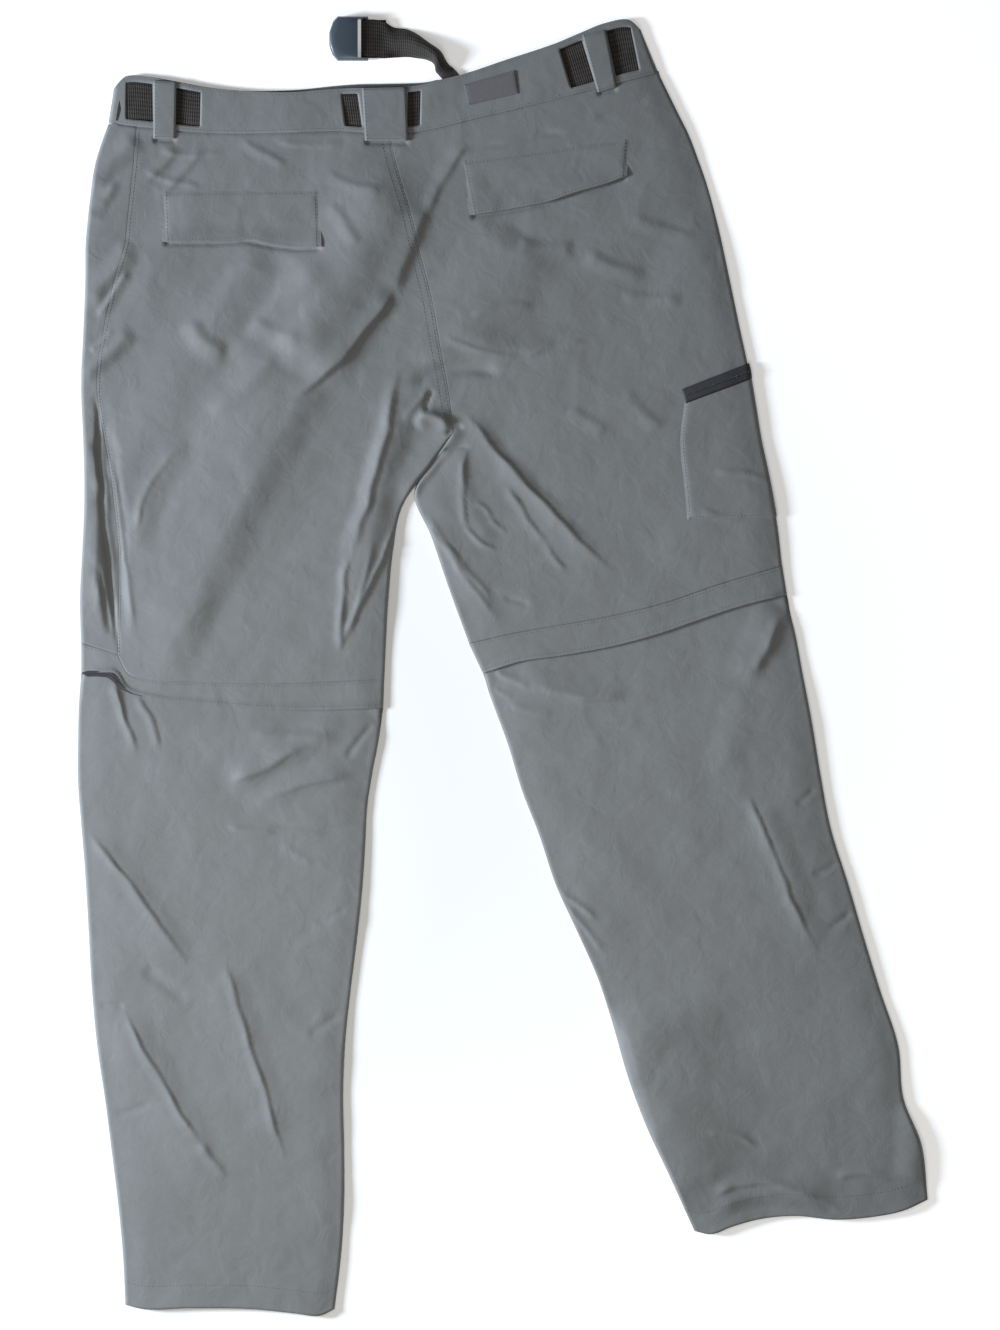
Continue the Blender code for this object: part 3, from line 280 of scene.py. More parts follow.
LEFT_LEG_CREASES = (
    ((-373, -14), (-363, -46), (-349, -86), 3.5, 9, 1.5, 0.7),
    ((-352, -26), (-333, -50), (-328, -84), 3.5, 9, 1.2, 0.7),
    ((-150, -90), (-140, -70), (-125, -55), 5, 6, -1.2, 0.5),
    ((-262, -110), (-228, -104), (-186, -72), 12, 5, 1.4, 0.6),
    ((-228, -128), (-196, -112), (-138, -104), 12, 4, 1.5, 0.7),
    ((-245, -70), (-200, -60), (-150, -75), 8, 10, 1.2, 0.4),
    ((-264, -155), (-242, -161), (-218, -158), 8, 3.5, 1.2, 0.7),
    ((-233, -147), (-190, -158), (-138, -155), 4, 6, -0.8, 0.5),
    ((-215, -170), (-198, -182), (-180, -190), 6, 7, 0.8, 0.5),
    ((-398, -158), (-362, -196), (-299, -291), 4, 11, 1.5, 0.8),
    ((-266, -280), (-248, -345), (-205, -480), 4, 10, 1.4, 0.8),
    ((-386, -323), (-374, -322), (-361, -326), 4, 5, -1.2, 0.5),
    ((-363, -327), (-335, -385), (-287, -459), 4, 10, 1.5, 0.8),
    ((-292, -452), (-278, -472), (-264, -487), 6, 9, 1.2, 0.5),
    ((-372, -428), (-355, -424), (-337, -418), 4, 5, -1.0, 0.5),
    ((-345, -285), (-325, -300), (-300, -322), 10, 10, -1.0, 0),
    ((-150, -230), (-162, -240), (-180, -244), 6, 7, -0.8, 0.4),
    ((-156, -330), (-170, -345), (-188, -352), 7, 8, -0.8, 0.3),
)
CREASES = LARGE_FOLDS + LEFT_THIGH_CREASES + SEAT_CREASES + RIGHT_LEG_CREASES + LEFT_LEG_CREASES

# Soft waves: height, size, seed. Thin wrinkles: height, size, seed, then share, size and seed of the
# patches where they lie.
WAVES = ((0.6, 62, 11), (0.35, 27, 12), (0.12, 11, 13))
WRINKLES = ((0.7, 52, 14, 0.2, 70, 16), (0.4, 27, 17, 0.1, 50, 18))

# Crumpled areas: centre x, y, radius and how much higher the wrinkles are there.
CRUMPLED = (
    (-50, 230, 90, 1.3), (-200, -100, 75, 1.0), (60, 400, 130, 0.5), (-385, 250, 110, 0.8),
    (10, 110, 80, 1.0), (-300, 440, 90, 0.4), (280, -510, 80, 0.7), (60, -20, 70, 0.5), (-380, -60, 60, 0.8),
)

# Pocket flaps: points of the top and of the free bottom edge.
LEFT_FLAP = (((-327, 451), (-250, 452), (-176, 453)),
             ((-325, 402), (-272, 402), (-245, 404), (-220, 399), (-195, 396), (-174, 397)))
RIGHT_FLAP = (((-43, 480), (40, 491), (119, 501)),
              ((-33, 427), (15, 435), (40, 440), (70, 450), (95, 457), (116, 465)))

# Lift of a flap over the cloth, depth and width of its pressed sewn edges, and its free edge: the share
# of the height where it starts and how far it lifts.
FLAP_LIFT, FLAP_DIP = 0.8, (1.0, 4.5)
FLAP_FREE_FROM, FLAP_FREE_LIFT = 0.66, 2.0

# Other pieces: corners from top left, clockwise. Lifts, and depths and widths of the dips at their edges.
CARGO = ((171, 256), (234, 276), (258, 138), (174, 139))
CARGO_SIZE, CARGO_LIFT, CARGO_DIP = (68, 128), 1.3, (1.2, 2.2)
CARGO_ZIP = ((168, 261), (233, 288), (234, 273), (171, 249))
ZIP_LIFT, ZIP_BULGE, TAPE_THICKNESS = 1.6, 0.5, 0.8
LEFT_LOOP = ((-334, 555), (-312, 554), (-313, 500), (-334, 500))
CENTRE_LOOP = ((-136, 548), (-94, 549), (-92, 498), (-133, 498))
RIGHT_LOOP = ((73, 598), (96, 603), (106, 549), (88, 544))
LOOP_LIFT, LOOP_SIDE_DIP, LOOP_END_DIP = 2.2, (0.9, 1.2), (0.8, 1.5)
PATCH = ((-39, 551), (9.5, 565), (13, 543), (-35, 532))
PATCH_SIZE, PATCH_LIFT, PATCH_DIP, PATCH_THICKNESS = (50, 22), 0.85, (0.5, 1.6), 0.7

# Free ends of the loops: a groove of this depth, distance below the edge and width lies in the cloth
# there, and also below the flaps' free edges.
LOOP_ENDS = (((-335, 500), (-312, 500)), ((-134, 498), (-91, 498)), ((87, 544), (107, 549)))
GROOVE, GROOVE_BELOW, GROOVE_WIDTH = 2.4, 1.4, 2.0

# The belt's free end: upper outline x, y, lower outline x, y, top height, pressed flat.
BELT_END = (
    (-124, 613.2, -124, 577, 6.6, 1), (-116, 612, -115, 576.5, 5.6, 1), (-106, 606.5, -104, 577.5, 6.5, 0.5),
    (-93, 604.5, -92, 578, 8.5, 0.3), (-81, 598.5, -80, 576.5, 10.5, 0.1), (-72, 590.5, -71, 575, 12.0, 0),
    (-62.5, 582, -66, 571.5, 12.5, 0), (-56, 573.5, -65, 564, 9.0, 0.3), (-48, 566.5, -61, 558.5, 4.0, 0.9),
    (-42, 559, -54, 551, 2.7, 1), (-38, 551, -48, 543, 2.7, 1),
)
BAR_X, BAR_Z, BAR_HALF = -133.5, 5.2, 1.3
BAR_TURN = BAR_HALF * 2 ** 0.5 + GAP + WEBBING
SEWN_END_X = -113

# Pitch and length of the zip teeth.
TEETH = {"pitch": 1.6, "length": 1.1}

# The camera's place in X and the height of its picture, at the surface.
VIEW_X, VIEW_HEIGHT = -4.75, 1263.5

# Colours, linear.
NYLON = (0.178, 0.184, 0.182)
NYLON_PALE = (0.194, 0.202, 0.201)
NYLON_DARK = (0.163, 0.167, 0.164)
THREAD = (0.150, 0.156, 0.157)
WEBBING_BROWN = (0.014, 0.011, 0.009)
WEBBING_PALE = (0.046, 0.037, 0.031)
TAPE_BLACK = (0.022, 0.022, 0.026)
TAPE_PALE = (0.040, 0.039, 0.044)
TEETH_BLACK = (0.050, 0.050, 0.056)
TEETH_PALE = (0.075, 0.075, 0.082)
BUCKLE_BLUE = (0.052, 0.070, 0.088)
BUCKLE_PALE = (0.062, 0.082, 0.102)
PATCH_GREY = (0.122, 0.120, 0.126)
PATCH_PALE = (0.136, 0.133, 0.139)


def ease(share):
    """Cubic step from 0 to 1, flat at both ends."""
    share = np.clip(share, 0, 1)
    return share * share * (3 - 2 * share)


def dip(distance, depth, width):
    """Depth of a soft dip beside an edge: a bell curve of the distance from it."""
    return depth * np.exp(-(distance / width) ** 2)


def through(points, steps):
    """A smooth curve through points: cubics whose end slopes are the neighbouring chords' slopes,
    weighted by the lengths of the opposite chords."""
    knots = np.asarray(points, float)
    step = np.diff(knots, axis=0)
    length = np.linalg.norm(step, axis=1)[:, None]
    slope = step / length
    tangent = np.empty_like(knots)
    tangent[0], tangent[-1] = slope[0], slope[-1]
    tangent[1:-1] = (slope[:-1] * length[1:] + slope[1:] * length[:-1]) / (length[:-1] + length[1:])
    share = (np.arange(steps) / steps)[None, :, None]
    square, cube = share ** 2, share ** 3
    start, end = knots[:-1, None], knots[1:, None]
    leave, arrive = (tangent[:-1] * length)[:, None], (tangent[1:] * length)[:, None]
    curve = (start * (2 * cube - 3 * square + 1) + leave * (cube - 2 * square + share)
             + end * (3 * square - 2 * cube) + arrive * (cube - square))
    return np.concatenate([curve.reshape(-1, knots.shape[1]), knots[-1:]])


def shares(curve):
    """How far along a curve each of its points is, as a share of its length."""
    length = np.concatenate([[0], np.cumsum(np.linalg.norm(np.diff(curve, axis=0), axis=1))])
    return length / length[-1]


def along(curve, places):
    """Points at shares of a curve's length."""
    known = shares(curve)
    return np.stack([np.interp(places, known, curve[:, axis]) for axis in range(curve.shape[1])], axis=1)


def coons(top, bottom, left, right, across):
    """Coons patch: the top and bottom curves blended down the rows, plus the left and right curves
    blended across the columns, less the straight blend of the four corners."""
    down = shares((left + right) / 2)[:, None, None]
    across = np.asarray(across)[None, :, None]
    top, bottom = along(top, across.ravel())[None], along(bottom, across.ravel())[None]
    left, right = left[:, None], right[:, None]
    corners = ((1 - across) * ((1 - down) * left[:1] + down * left[-1:])
               + across * ((1 - down) * right[:1] + down * right[-1:]))
    return (1 - down) * top + down * bottom + (1 - across) * left + across * right - corners


def noise(x, y, size, seed):
    """Smooth noise from -1 to 1: random values on a square lattice of that size, eased between."""
    lattice = np.random.default_rng(seed).uniform(-1, 1, (128, 128))
    column, row = np.floor(x / size).astype(int), np.floor(y / size).astype(int)
    a, b = ease(x / size - column), ease(y / size - row)
    column, row = column % 128, row % 128
    right, above = (column + 1) % 128, (row + 1) % 128
    low = lattice[row, column] * (1 - a) + lattice[row, right] * a
    high = lattice[above, column] * (1 - a) + lattice[above, right] * a
    return low * (1 - b) + high * b


def crease_height(x, y):
    """Sum of the folds and creases: each rises across its curve as half a cosine wave, or as a
    sharper parabola, fades in and out over a fifth of its length, and is a little uneven."""
    shape = x.shape
    x, y = x.ravel(), y.ravel()
    x, y = x + 1.6 * noise(x, y, 17, 3), y + 1.6 * noise(x, y, 19, 4)
    uneven = noise(x, y, 23, 9)
    height = np.zeros(x.size)
    share = np.linspace(0, 1, 300)
    for start, bend, end, left_width, right_width, rise, sharp in CREASES:
        start, bend, end = (np.array(point, float) for point in (start, bend, end))
        curve = (np.outer((1 - share) ** 2, start) + np.outer(2 * share * (1 - share), bend)
                 + np.outer(share ** 2, end))
        reach = max(left_width, right_width)
        low, high = curve.min(axis=0) - reach, curve.max(axis=0) + reach
        near = np.flatnonzero((x > low[0]) & (x < high[0]) & (y > low[1]) & (y < high[1]))
        if not near.size:
            continue
        away_x, away_y = x[near, None] - curve[:, 0], y[near, None] - curve[:, 1]
        nearest = (away_x ** 2 + away_y ** 2).argmin(axis=1)
        heading = np.gradient(curve, axis=0)
        heading /= np.linalg.norm(heading, axis=1)[:, None]
        heading = heading[nearest]
        pick = np.arange(near.size)
        side = heading[:, 0] * away_y[pick, nearest] - heading[:, 1] * away_x[pick, nearest]
        width = np.where(side > 0, left_width, right_width)
        across = np.clip(np.abs(side) / width, 0, 1)
        profile = (1 - sharp) * (1 + np.cos(np.pi * across)) / 2 + sharp * (1 - across) ** 2
        place = share[nearest]
        unevenness = 1 + uneven[near] * min(0.35, 4 / reach)
        height[near] += rise * profile * ease(np.minimum(place, 1 - place) * 5) * unevenness
    return height.reshape(shape)


def cloth_height(x, y):
    """Height of the back's outside: its loft, the folds and creases, soft waves, long slanted ones
    on the left thigh, thin wrinkles along the lines where warped noise is zero, most of them in the
    crumpled areas, and a groove below each free edge."""
    waves = sum(high * noise(x, y, size, seed) for high, size, seed in WAVES)
    slanted = noise(0.87 * x - 0.5 * y, 0.2 * (0.5 * x + 0.87 * y), 34, 19)
    waves = waves + (0.35 + 0.85 * ease(y / 90) * ease((60 - x) / 160)) * slanted
    crumpled = 0.25 + sum(share * np.exp(-((x - centre_x) ** 2 + (y - centre_y) ** 2) / radius ** 2)
                          for centre_x, centre_y, radius, share in CRUMPLED)
    u, v = x + 11 * noise(x, y, 41, 5), y + 11 * noise(x, y, 37, 6)
    wrinkles = sum(high * (1 - np.abs(noise(u, v, size, seed))) ** 4
                   * np.clip(share + noise(x, y, patch_size, patch_seed), 0, 1)
                   for high, size, seed, share, patch_size, patch_seed in WRINKLES)
    height = LOFT + crease_height(x, y) + waves + crumpled * wrinkles
    for line in (LEFT_FLAP[1], RIGHT_FLAP[1], *LOOP_ENDS):
        line_x, line_y = np.array(line, float).T
        inside = ease((x - line_x[0]) / 3) * ease((line_x[-1] - x) / 3)
        below = np.interp(x, line_x, line_y) - y
        height = height - inside * dip(below - GROOVE_BELOW, GROOVE, GROOVE_WIDTH)
    return np.maximum(height, LOWEST_TOP)


def spread(width, fine_start=True, fine_end=True, spacing=GRID):
    """Shares of a width for grid lines, closer together beside its edges."""
    edge = np.array(EDGE_STEPS) / width
    first = edge if fine_start else edge[:1]
    last = 1 - edge[::-1] if fine_end else 1 - edge[:1]
    count = max(2, round((last[0] - first[-1]) * width / spacing))
    return np.concatenate([first[:-1], np.linspace(first[-1], last[0], count + 1), last[1:]])


def headings(grid, axis):
    """Direction of a grid's lines at each point: the mean of the unit steps before and after it."""
    step = np.diff(grid, axis=axis)
    step = step / np.maximum(np.linalg.norm(step, axis=2, keepdims=True), 1e-9)
    step = np.concatenate([step.take([0], axis), step, step.take([-1], axis)], axis=axis)
    count = grid.shape[axis]
    return step.take(range(count), axis) + step.take(range(1, count + 1), axis)


def normals(grid):
    """Unit normals of a grid whose rows run down and columns to the right, seen from outside."""
    normal = np.cross(headings(grid, 0), headings(grid, 1))
    return normal / np.maximum(np.linalg.norm(normal, axis=2, keepdims=True), 1e-9)


def to_border(plan):
    """Distance of each point of a plan from its left and its right border, along its row."""
    step = np.linalg.norm(np.diff(plan, axis=1), axis=2)
    from_left = np.concatenate([np.zeros((len(plan), 1)), np.cumsum(step, axis=1)], axis=1)
    return from_left, from_left[:, -1:] - from_left


def surface(plan, left_fold=0.0, right_fold=0.0, tuck=0.0, left_seam=NO_DIP, right_seam=NO_DIP,
            top_seam=NO_DIP):
    """Outer points of a panel. The height is cloth_height, less the tuck. A folded side falls as a
    quarter ellipse to the front panel, and a sewn edge has the dip of its seam."""
    rows = len(plan)
    tuck, left_fold, right_fold = (np.broadcast_to(value, rows)[:, None]
                                   for value in (tuck, left_fold, right_fold))
    top = cloth_height(plan[..., 0], plan[..., 1]) - TUCK_DEPTH * tuck
    top = top - dip(np.linalg.norm(plan - plan[:1], axis=2), *top_seam)
    low = CLOTH + GAP
    kept = np.ones_like(top)
    for distance, fold, seam in zip(to_border(plan), (left_fold, right_fold), (left_seam, right_seam)):
        ellipse = np.sqrt(1 - (1 - np.clip(distance / TURN_WIDTH, 0, 1)) ** 2)
        kept *= 1 - fold * (1 - ellipse)
        top = top - (1 - fold) * dip(distance, *seam) - fold * dip(distance, SIDE_DROP, SIDE_SLOPE)
    top = np.maximum(top, LOWEST_TOP - 0.3)
    return np.dstack([plan, low + (top - low) * kept])


def put_mesh(name, points, faces, material, smooth=True, uv=None):
    """A mesh object from points in mm that rides on the trousers' one body."""
    mesh = bpy.data.meshes.new(name)
    mesh.from_pydata((np.asarray(points, float) * MM).tolist(), [], faces)
    mesh.update()
    if smooth:
        mesh.shade_smooth()
    if uv is not None:
        corner = np.empty(len(mesh.loops), np.int32)
        mesh.loops.foreach_get("vertex_index", corner)
        layer = mesh.uv_layers.new(name="UVMap")
        layer.data.foreach_set("uv", np.asarray(uv, np.float32)[corner].ravel())
    mesh.materials.append(material)
    piece = bpy.data.objects.new(name, mesh)
    bpy.context.scene.collection.objects.link(piece)
    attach(piece, "root")
    return piece


def shell(name, outer, inner, material, kept=None, uv=None):
    """One layer as a closed body: the outer and the inner grid joined round the rim and round the
    cells where kept is False."""
    rows, columns = outer.shape[:2]
    if kept is None:
        kept = np.ones((rows - 1, columns - 1), bool)
    row, column = np.nonzero(kept)
    first = row * columns + column
    outside = np.stack([first, first + columns, first + columns + 1, first + 1], axis=1)
    layer = rows * columns
    inside = outside[:, ::-1] + layer
    start, end = outside.ravel(), np.roll(outside, -1, axis=1).ravel()
    code, back = start * layer + end, end * layer + start
    free = ~np.isin(back, code)
    a, b = start[free], end[free]
    rim = np.stack([b, a, a + layer, b + layer], axis=1)
    faces = np.concatenate([outside, inside, rim])
    used = np.unique(faces)
    renumber = np.zeros(2 * layer, int)
    renumber[used] = np.arange(used.size)
    points = np.concatenate([outer.reshape(-1, 3), inner.reshape(-1, 3)])[used]
    if uv is not None:
        uv = np.concatenate([uv.reshape(-1, 2)] * 2)[used]
    return put_mesh(name, points, renumber[faces].tolist(), material, uv=uv)


def cloth(name, outer, nodes, material, kept=None):
    """A panel of cloth that stands for its CAD nodes."""
    piece = shell(name, outer, outer - normals(outer) * SHELL, material, kept)
    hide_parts(*nodes)
    return piece


def waist_lower(x):
    """Height in plan of the waistband's lower edge at x."""
    table = np.array(list(WAIST.values()), float)
    return np.interp(x, table[:, 2], table[:, 3])


def waist_line(start_x, end_x, lap=-WAIST_GAP):
    """Plan points along the waistband's lower edge between two x, that far under it."""
    xs = np.linspace(start_x, end_x, 80)
    return np.column_stack([xs, waist_lower(xs) + lap])


def started(curve, lap=-WAIST_GAP):
    """A border whose first point is moved to the waistband's lower edge, that far under it."""
    curve = curve.copy()
    curve[0, 1] = waist_lower(curve[0, 0]) + lap
    return curve


def sample(grid, down, across):
    """Points of a grid at shares of its rows and columns, blended between the four around them."""
    rows, columns = grid.shape[:2]
    r, c = np.clip(down, 0, 1) * (rows - 1), np.clip(across, 0, 1) * (columns - 1)
    i, j = np.minimum(r.astype(int), rows - 2), np.minimum(c.astype(int), columns - 2)
    a, b = (r - i)[:, None], (c - j)[:, None]
    return ((grid[i, j] * (1 - b) + grid[i, j + 1] * b) * (1 - a)
            + (grid[i + 1, j] * (1 - b) + grid[i + 1, j + 1] * b) * a)


def make_panels(look):
    """Backs and fronts of the thighs. Returns the two back grids."""
    side = np.array(LEFT_SIDE, float)
    edge, outseam = through(side[:, :2], 12), through(side[:, 2:], 12)
    centre_back, centre_front = through(CENTRE_BACK, 12), through(CENTRE_FRONT, 12)
    left_leg, right_leg = through(LEFT_INSEAM, 12)[1:], through(RIGHT_INSEAM, 12)[1:]
    rows = np.linspace(0, 1, 260)

    inner = started(np.concatenate([centre_back - HALF_SEAM_GAP, left_leg]), WAIST_LAP)
    border = started(outseam + HALF_SEAM_GAP, WAIST_LAP)
    crotch = shares(inner)[len(centre_back) - 1]
    fold = ease((rows - crotch) / 0.04)
    bottom = through(LEFT_ZIP_SEAM, 12)
    bottom[0], bottom[-1] = border[-1], inner[-1]
    plan = coons(waist_line(border[0, 0], inner[0, 0], WAIST_LAP), bottom, along(border, rows),
                 along(inner, rows), spread(270))
    left = surface(plan, 0, fold, 0, OUTSEAM_DIP, SEAT_DIP, WAIST_DIP)
    cloth("left_back_thigh", left, ["back_left"], look)

    floor_rows = along(started(edge + (WRAP_RADIUS, 0)), rows)
    inner = along(started(np.concatenate([centre_front - HALF_SEAM_GAP, left_leg])), rows)
    floor = coons(waist_line(floor_rows[0, 0], inner[0, 0]), np.stack([floor_rows[-1], inner[-1]]),
                  floor_rows, inner, np.linspace(0, 1, 14))[:, ::-1]
    floor = np.dstack([floor, np.zeros(floor.shape[:2])])
    seam = along(started(outseam + (SEAM_LAP, 0)), rows)
    share = np.sqrt(np.linspace(0, 1, 17))[None, :, None]
    strip = (1 - share) * floor_rows[:, None] + share * seam[:, None]
    height = cloth_height(strip[..., 0], strip[..., 1])
    height -= dip(to_border(strip)[1], *LAP_DIP)
    strip = np.dstack([strip, height])
    strip[0] += (0, WAIST_GAP + WAIST_LAP, -WAIST_LAP)
    angle = np.radians(np.linspace(-75, 75, 9))[None, :]
    middle = strip[:, :1, 2] / 2
    turn = np.dstack([floor_rows[:, :1] - WRAP_RADIUS * np.cos(angle),
                      np.repeat(floor_rows[:, 1:], 9, axis=1), middle + middle * np.sin(angle)])
    wrap = np.concatenate([floor, turn, strip], axis=1)
    cloth("left_front_thigh", wrap, ["front_left"], look)

    inner = started(np.concatenate([centre_back - (SEAM_LAP, 0), right_leg]), WAIST_LAP)
    border = started(through(RIGHT_SIDE, 12), WAIST_LAP)
    crotch = shares(inner)[len(centre_back) - 1]
    fold = ease((rows - crotch) / 0.04)
    plan = coons(waist_line(inner[0, 0], border[0, 0], WAIST_LAP), through(RIGHT_ZIP_SEAM, 12),
                 along(inner, rows), along(border, rows), spread(290))
    right = surface(plan, fold, 1, 0, LAP_DIP, NO_DIP, WAIST_DIP)
    cloth("right_back_thigh", right, ["back_right"], look)

    inner = along(started(np.concatenate([centre_front + HALF_SEAM_GAP, right_leg])), rows)
    border = along(started(border), rows)
    plan = coons(waist_line(inner[0, 0], border[0, 0]), np.stack([inner[-1], border[-1]]), inner, border,
                 np.linspace(0, 1, 24))
    flat_piece("right_front_thigh", plan, ["front_right"], look)
    return left, right


def flat_piece(name, plan, nodes, look):
    """A front panel, face down on the surface."""
    outer = np.dstack([plan, np.zeros(plan.shape[:2])])[:, ::-1]
    piece = shell(name, outer, outer + (0, 0, CLOTH), look)
    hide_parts(*nodes)
    return piece


def make_knee(side, seam, edge, leg, hem, look):
    """Band over the knee zip, the band under it, the lower leg's back and its front."""
    places = spread(290)
    top = along(seam, places) + (0, SEAM_LAP)
    low = along(edge, places)
    down = spread(29, spacing=2.0)[:, None, None]
    plan = (1 - down) * top + down * low
    band = surface(plan, 1, 1, top_seam=LAP_DIP)
    free = ease((down[..., 0] - BAND_FREE_FROM) / (1 - BAND_FREE_FROM))
    band[..., 2] += BAND_LIFT * free * ease(np.minimum(places, 1 - places) * 20)
    cloth(f"{side}_zip_band", band, [f"zip_band_{side}"], look)

    ends = np.stack([seam[0], seam[-1]]) - (0, GAP), np.stack([edge[0], edge[-1]])
    plan = np.stack([along(line, np.linspace(0, 1, 30)) for line in ends])
    flat_piece(f"{side}_zip_band_front", plan, [f"zip_band_under_{side}"], look)

    table = np.array(leg, float)
    borders = through(table, 12)
    rows = np.linspace(0, 1, 262)
    known = shares(borders[:, :2])
    left, right = along(borders[:, :2], rows), along(borders[:, 2:4], rows)
    tuck = np.interp(rows, known, np.clip(borders[:, 4], 0, 1))
    inset = TUCK_INSET * tuck[:, None] * (1, 0)
    top = edge + (0, TUCK_OVERLAP)
    top[0], top[-1] = left[0], right[0]
    across = spread(265)
    plan = coons(top, hem, left, right, across) + inset[:, None] * (1 - 2 * across)[None, :, None]
    outer = surface(plan, 1, 1, tuck)
    cloth(f"{side}_lower_back", outer, [f"lower_back_{side}"], look)

    below = left[:, 1] < edge[0, 1] - GAP, right[:, 1] < edge[-1, 1] - GAP
    left = np.concatenate([[edge[0] - (0, GAP)], left[below[0]]])
    right = np.concatenate([[edge[-1] - (0, GAP)], right[below[1]]])
    rows = np.linspace(0, 1, 90)
    left, right = along(left, rows), along(right, rows)
    plan = coons(np.stack([left[0], right[0]]), hem, left, right, np.linspace(0, 1, 24))
    flat_piece(f"{side}_lower_front", plan, [f"lower_front_{side}"], look)
    return band, outer


def make_zip_end_and_shade_gap(look, teeth_look):
    """End of the left knee zip, which shows where the band over it kinks at the outseam. Its black tape
    strip is partly the real zip and partly painted shade for the dark gap under the band.
    """
    edge = along(through(ZIP_END, 12), np.linspace(0, 1, 60))
    width = np.interp(np.linspace(0, 1, 60), ZIP_END_SHARES, ZIP_END_SHADE_WIDTHS)
    share = np.linspace(-0.5, 1, 8)[:, None]
    plan = np.dstack([np.tile(edge[:, 0], (8, 1)), edge[None, :, 1] - share * width])
    height = cloth_height(plan[..., 0], plan[..., 1])
    grid = np.dstack([plan, height + 0.5 - 0.4 * share])
    # Painted shade: the black strip lies on the lower leg and darkens the gap under the band's edge.
    shell("left_zip_end", grid, grid - (0, 0, TAPE_THICKNESS), look)
    stitches("left_zip_end_teeth", [grid[4, 2:34] + (0, 0, 0.1)], teeth_look, "zip_tape", thick=0.6, **TEETH)


def make_waistband(look):
    """Back waistband with its six windows, and the two halves of the front one."""
    table = np.array(list(WAIST.values()), float)
    names = list(WAIST)
    counts = np.maximum(2, np.round(np.hypot(*np.diff(table[:, 2:4], axis=0).T) / 2.4).astype(int))
    index = np.concatenate([[0], np.cumsum(counts)])
    places = np.concatenate([np.arange(count) / count + i for i, count in enumerate(counts)]
                            + [[len(counts)]])
    curve = through(table, 12)
    fine = np.stack([np.interp(places, np.arange(len(curve)) / 12, curve[:, k]) for k in range(5)], axis=1)
    down = np.concatenate([[0, 0.015, 0.045], np.linspace(0.085, WINDOW_SHARES[0], 2),
                           np.linspace(*WINDOW_SHARES, 15)[1:], np.linspace(0.915, 0.955, 2), [0.985, 1]])
    share = down[:, None, None]
    plan = (1 - share) * fine[:, :2] + share * fine[:, 2:4]
    outer = surface(plan, 1, 1)
    x, y = plan[..., 0], plan[..., 1]
    ripple = 0.25 * noise(x, y, 14, 21) + 0.2 * noise(x, y, 40, 22)
    rolled = dip(np.minimum(share, 1 - share)[..., 0] * 44, 0.6, 1.0)
    outer[..., 2] = np.minimum(outer[..., 2], LOFT + 0.3 + ripple - rolled)
    kept = np.ones((len(down) - 1, len(places) - 1), bool)
    first, last = (int(np.abs(down - value).argmin()) for value in WINDOW_SHARES)
    for window in WINDOWS:
        station = names.index(window)
        kept[first:last, index[station]:index[station + 1]] = False
    cloth("back_waistband", outer, ["waistband_back"], look, kept=kept)

    closure = CENTRE_FRONT[0][0]
    rise = fine[:, :2] + fine[:, 4:5] * (0, 1)
    share = np.linspace(0, 1, 10)[:, None, None]
    plan = (1 - share) * rise + share * fine[:, 2:4]
    for side, part, size in (("left", plan[:, fine[:, 2] < closure - 1], (0.33, 0.047)),
                             ("right", plan[:, fine[:, 2] > closure + 1], (0.22, 0.047))):
        flat_piece(f"{side}_front_waistband", part, [f"waistband_front_{side}"], look)
    return outer


def four_cornered(corners, across, down):
    """Grid between four corners, from top left, clockwise: a straight blend across and down."""
    a, b, c, d = (np.array(corner, float) for corner in corners)
    across, down = np.asarray(across)[None, :, None], np.asarray(down)[:, None, None]
    return (1 - down) * ((1 - across) * a + across * b) + down * ((1 - across) * d + across * c)


def make_flap(name, node, lines, look, size):
    """A pocket flap: sewn down along its top, pressed at its sides and free along its bottom edge."""
    width, height = size[0] / MM, size[1] / MM
    across, down = spread(width), spread(height)
    top, bottom = (along(through(line, 12), across)[None] for line in lines)
    share = down[:, None, None]
    plan = (1 - share) * top + share * bottom
    x, y = plan[..., 0], plan[..., 1]
    side = np.minimum(across, 1 - across)[None] * width
    lift = FLAP_LIFT - dip(np.minimum(side, down[:, None] * height), *FLAP_DIP)
    lift = lift + FLAP_FREE_LIFT * ease((down[:, None] - FLAP_FREE_FROM) / (1 - FLAP_FREE_FROM))
    lift = lift + 0.2 * noise(x, y, 13, 31)
    grid = np.dstack([plan, cloth_height(x, np.maximum(y, bottom[..., 1] + 5)) + lift])
    cloth(name, grid, [node], look)
    return grid


def make_loop(name, node, corners, look):
    """A belt loop: a folded strip over the waistband, turned under at both ends."""
    width = np.linalg.norm(np.subtract(corners[1], corners[0]))
    height = np.linalg.norm(np.subtract(corners[3], corners[0]))
    across, down = spread(width, spacing=2), spread(height, spacing=2)
    plan = four_cornered(corners, across, down)
    side = np.minimum(across, 1 - across)[None] * width
    end = np.minimum(down, 1 - down)[:, None] * height
    grid = np.dstack([plan, LOFT + LOOP_LIFT - dip(side, *LOOP_SIDE_DIP) - dip(end, *LOOP_END_DIP)
                      + 0.12 * noise(plan[..., 0], plan[..., 1], 9, 41)])
    cloth(name, grid, [node], look)
    return grid


def make_patch(look):
    """The bare patch on the waistband."""
    width, height = PATCH_SIZE
    across, down = spread(width, spacing=3), spread(height, spacing=3)
    edge = np.minimum(np.minimum(across, 1 - across)[None] * width,
                      np.minimum(down, 1 - down)[:, None] * height)
    grid = np.dstack([four_cornered(PATCH, across, down), LOFT + PATCH_LIFT - dip(edge, *PATCH_DIP)])
    piece = shell("bare_patch", grid, grid - (0, 0, PATCH_THICKNESS), look)
    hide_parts("waist_patch")
    return grid


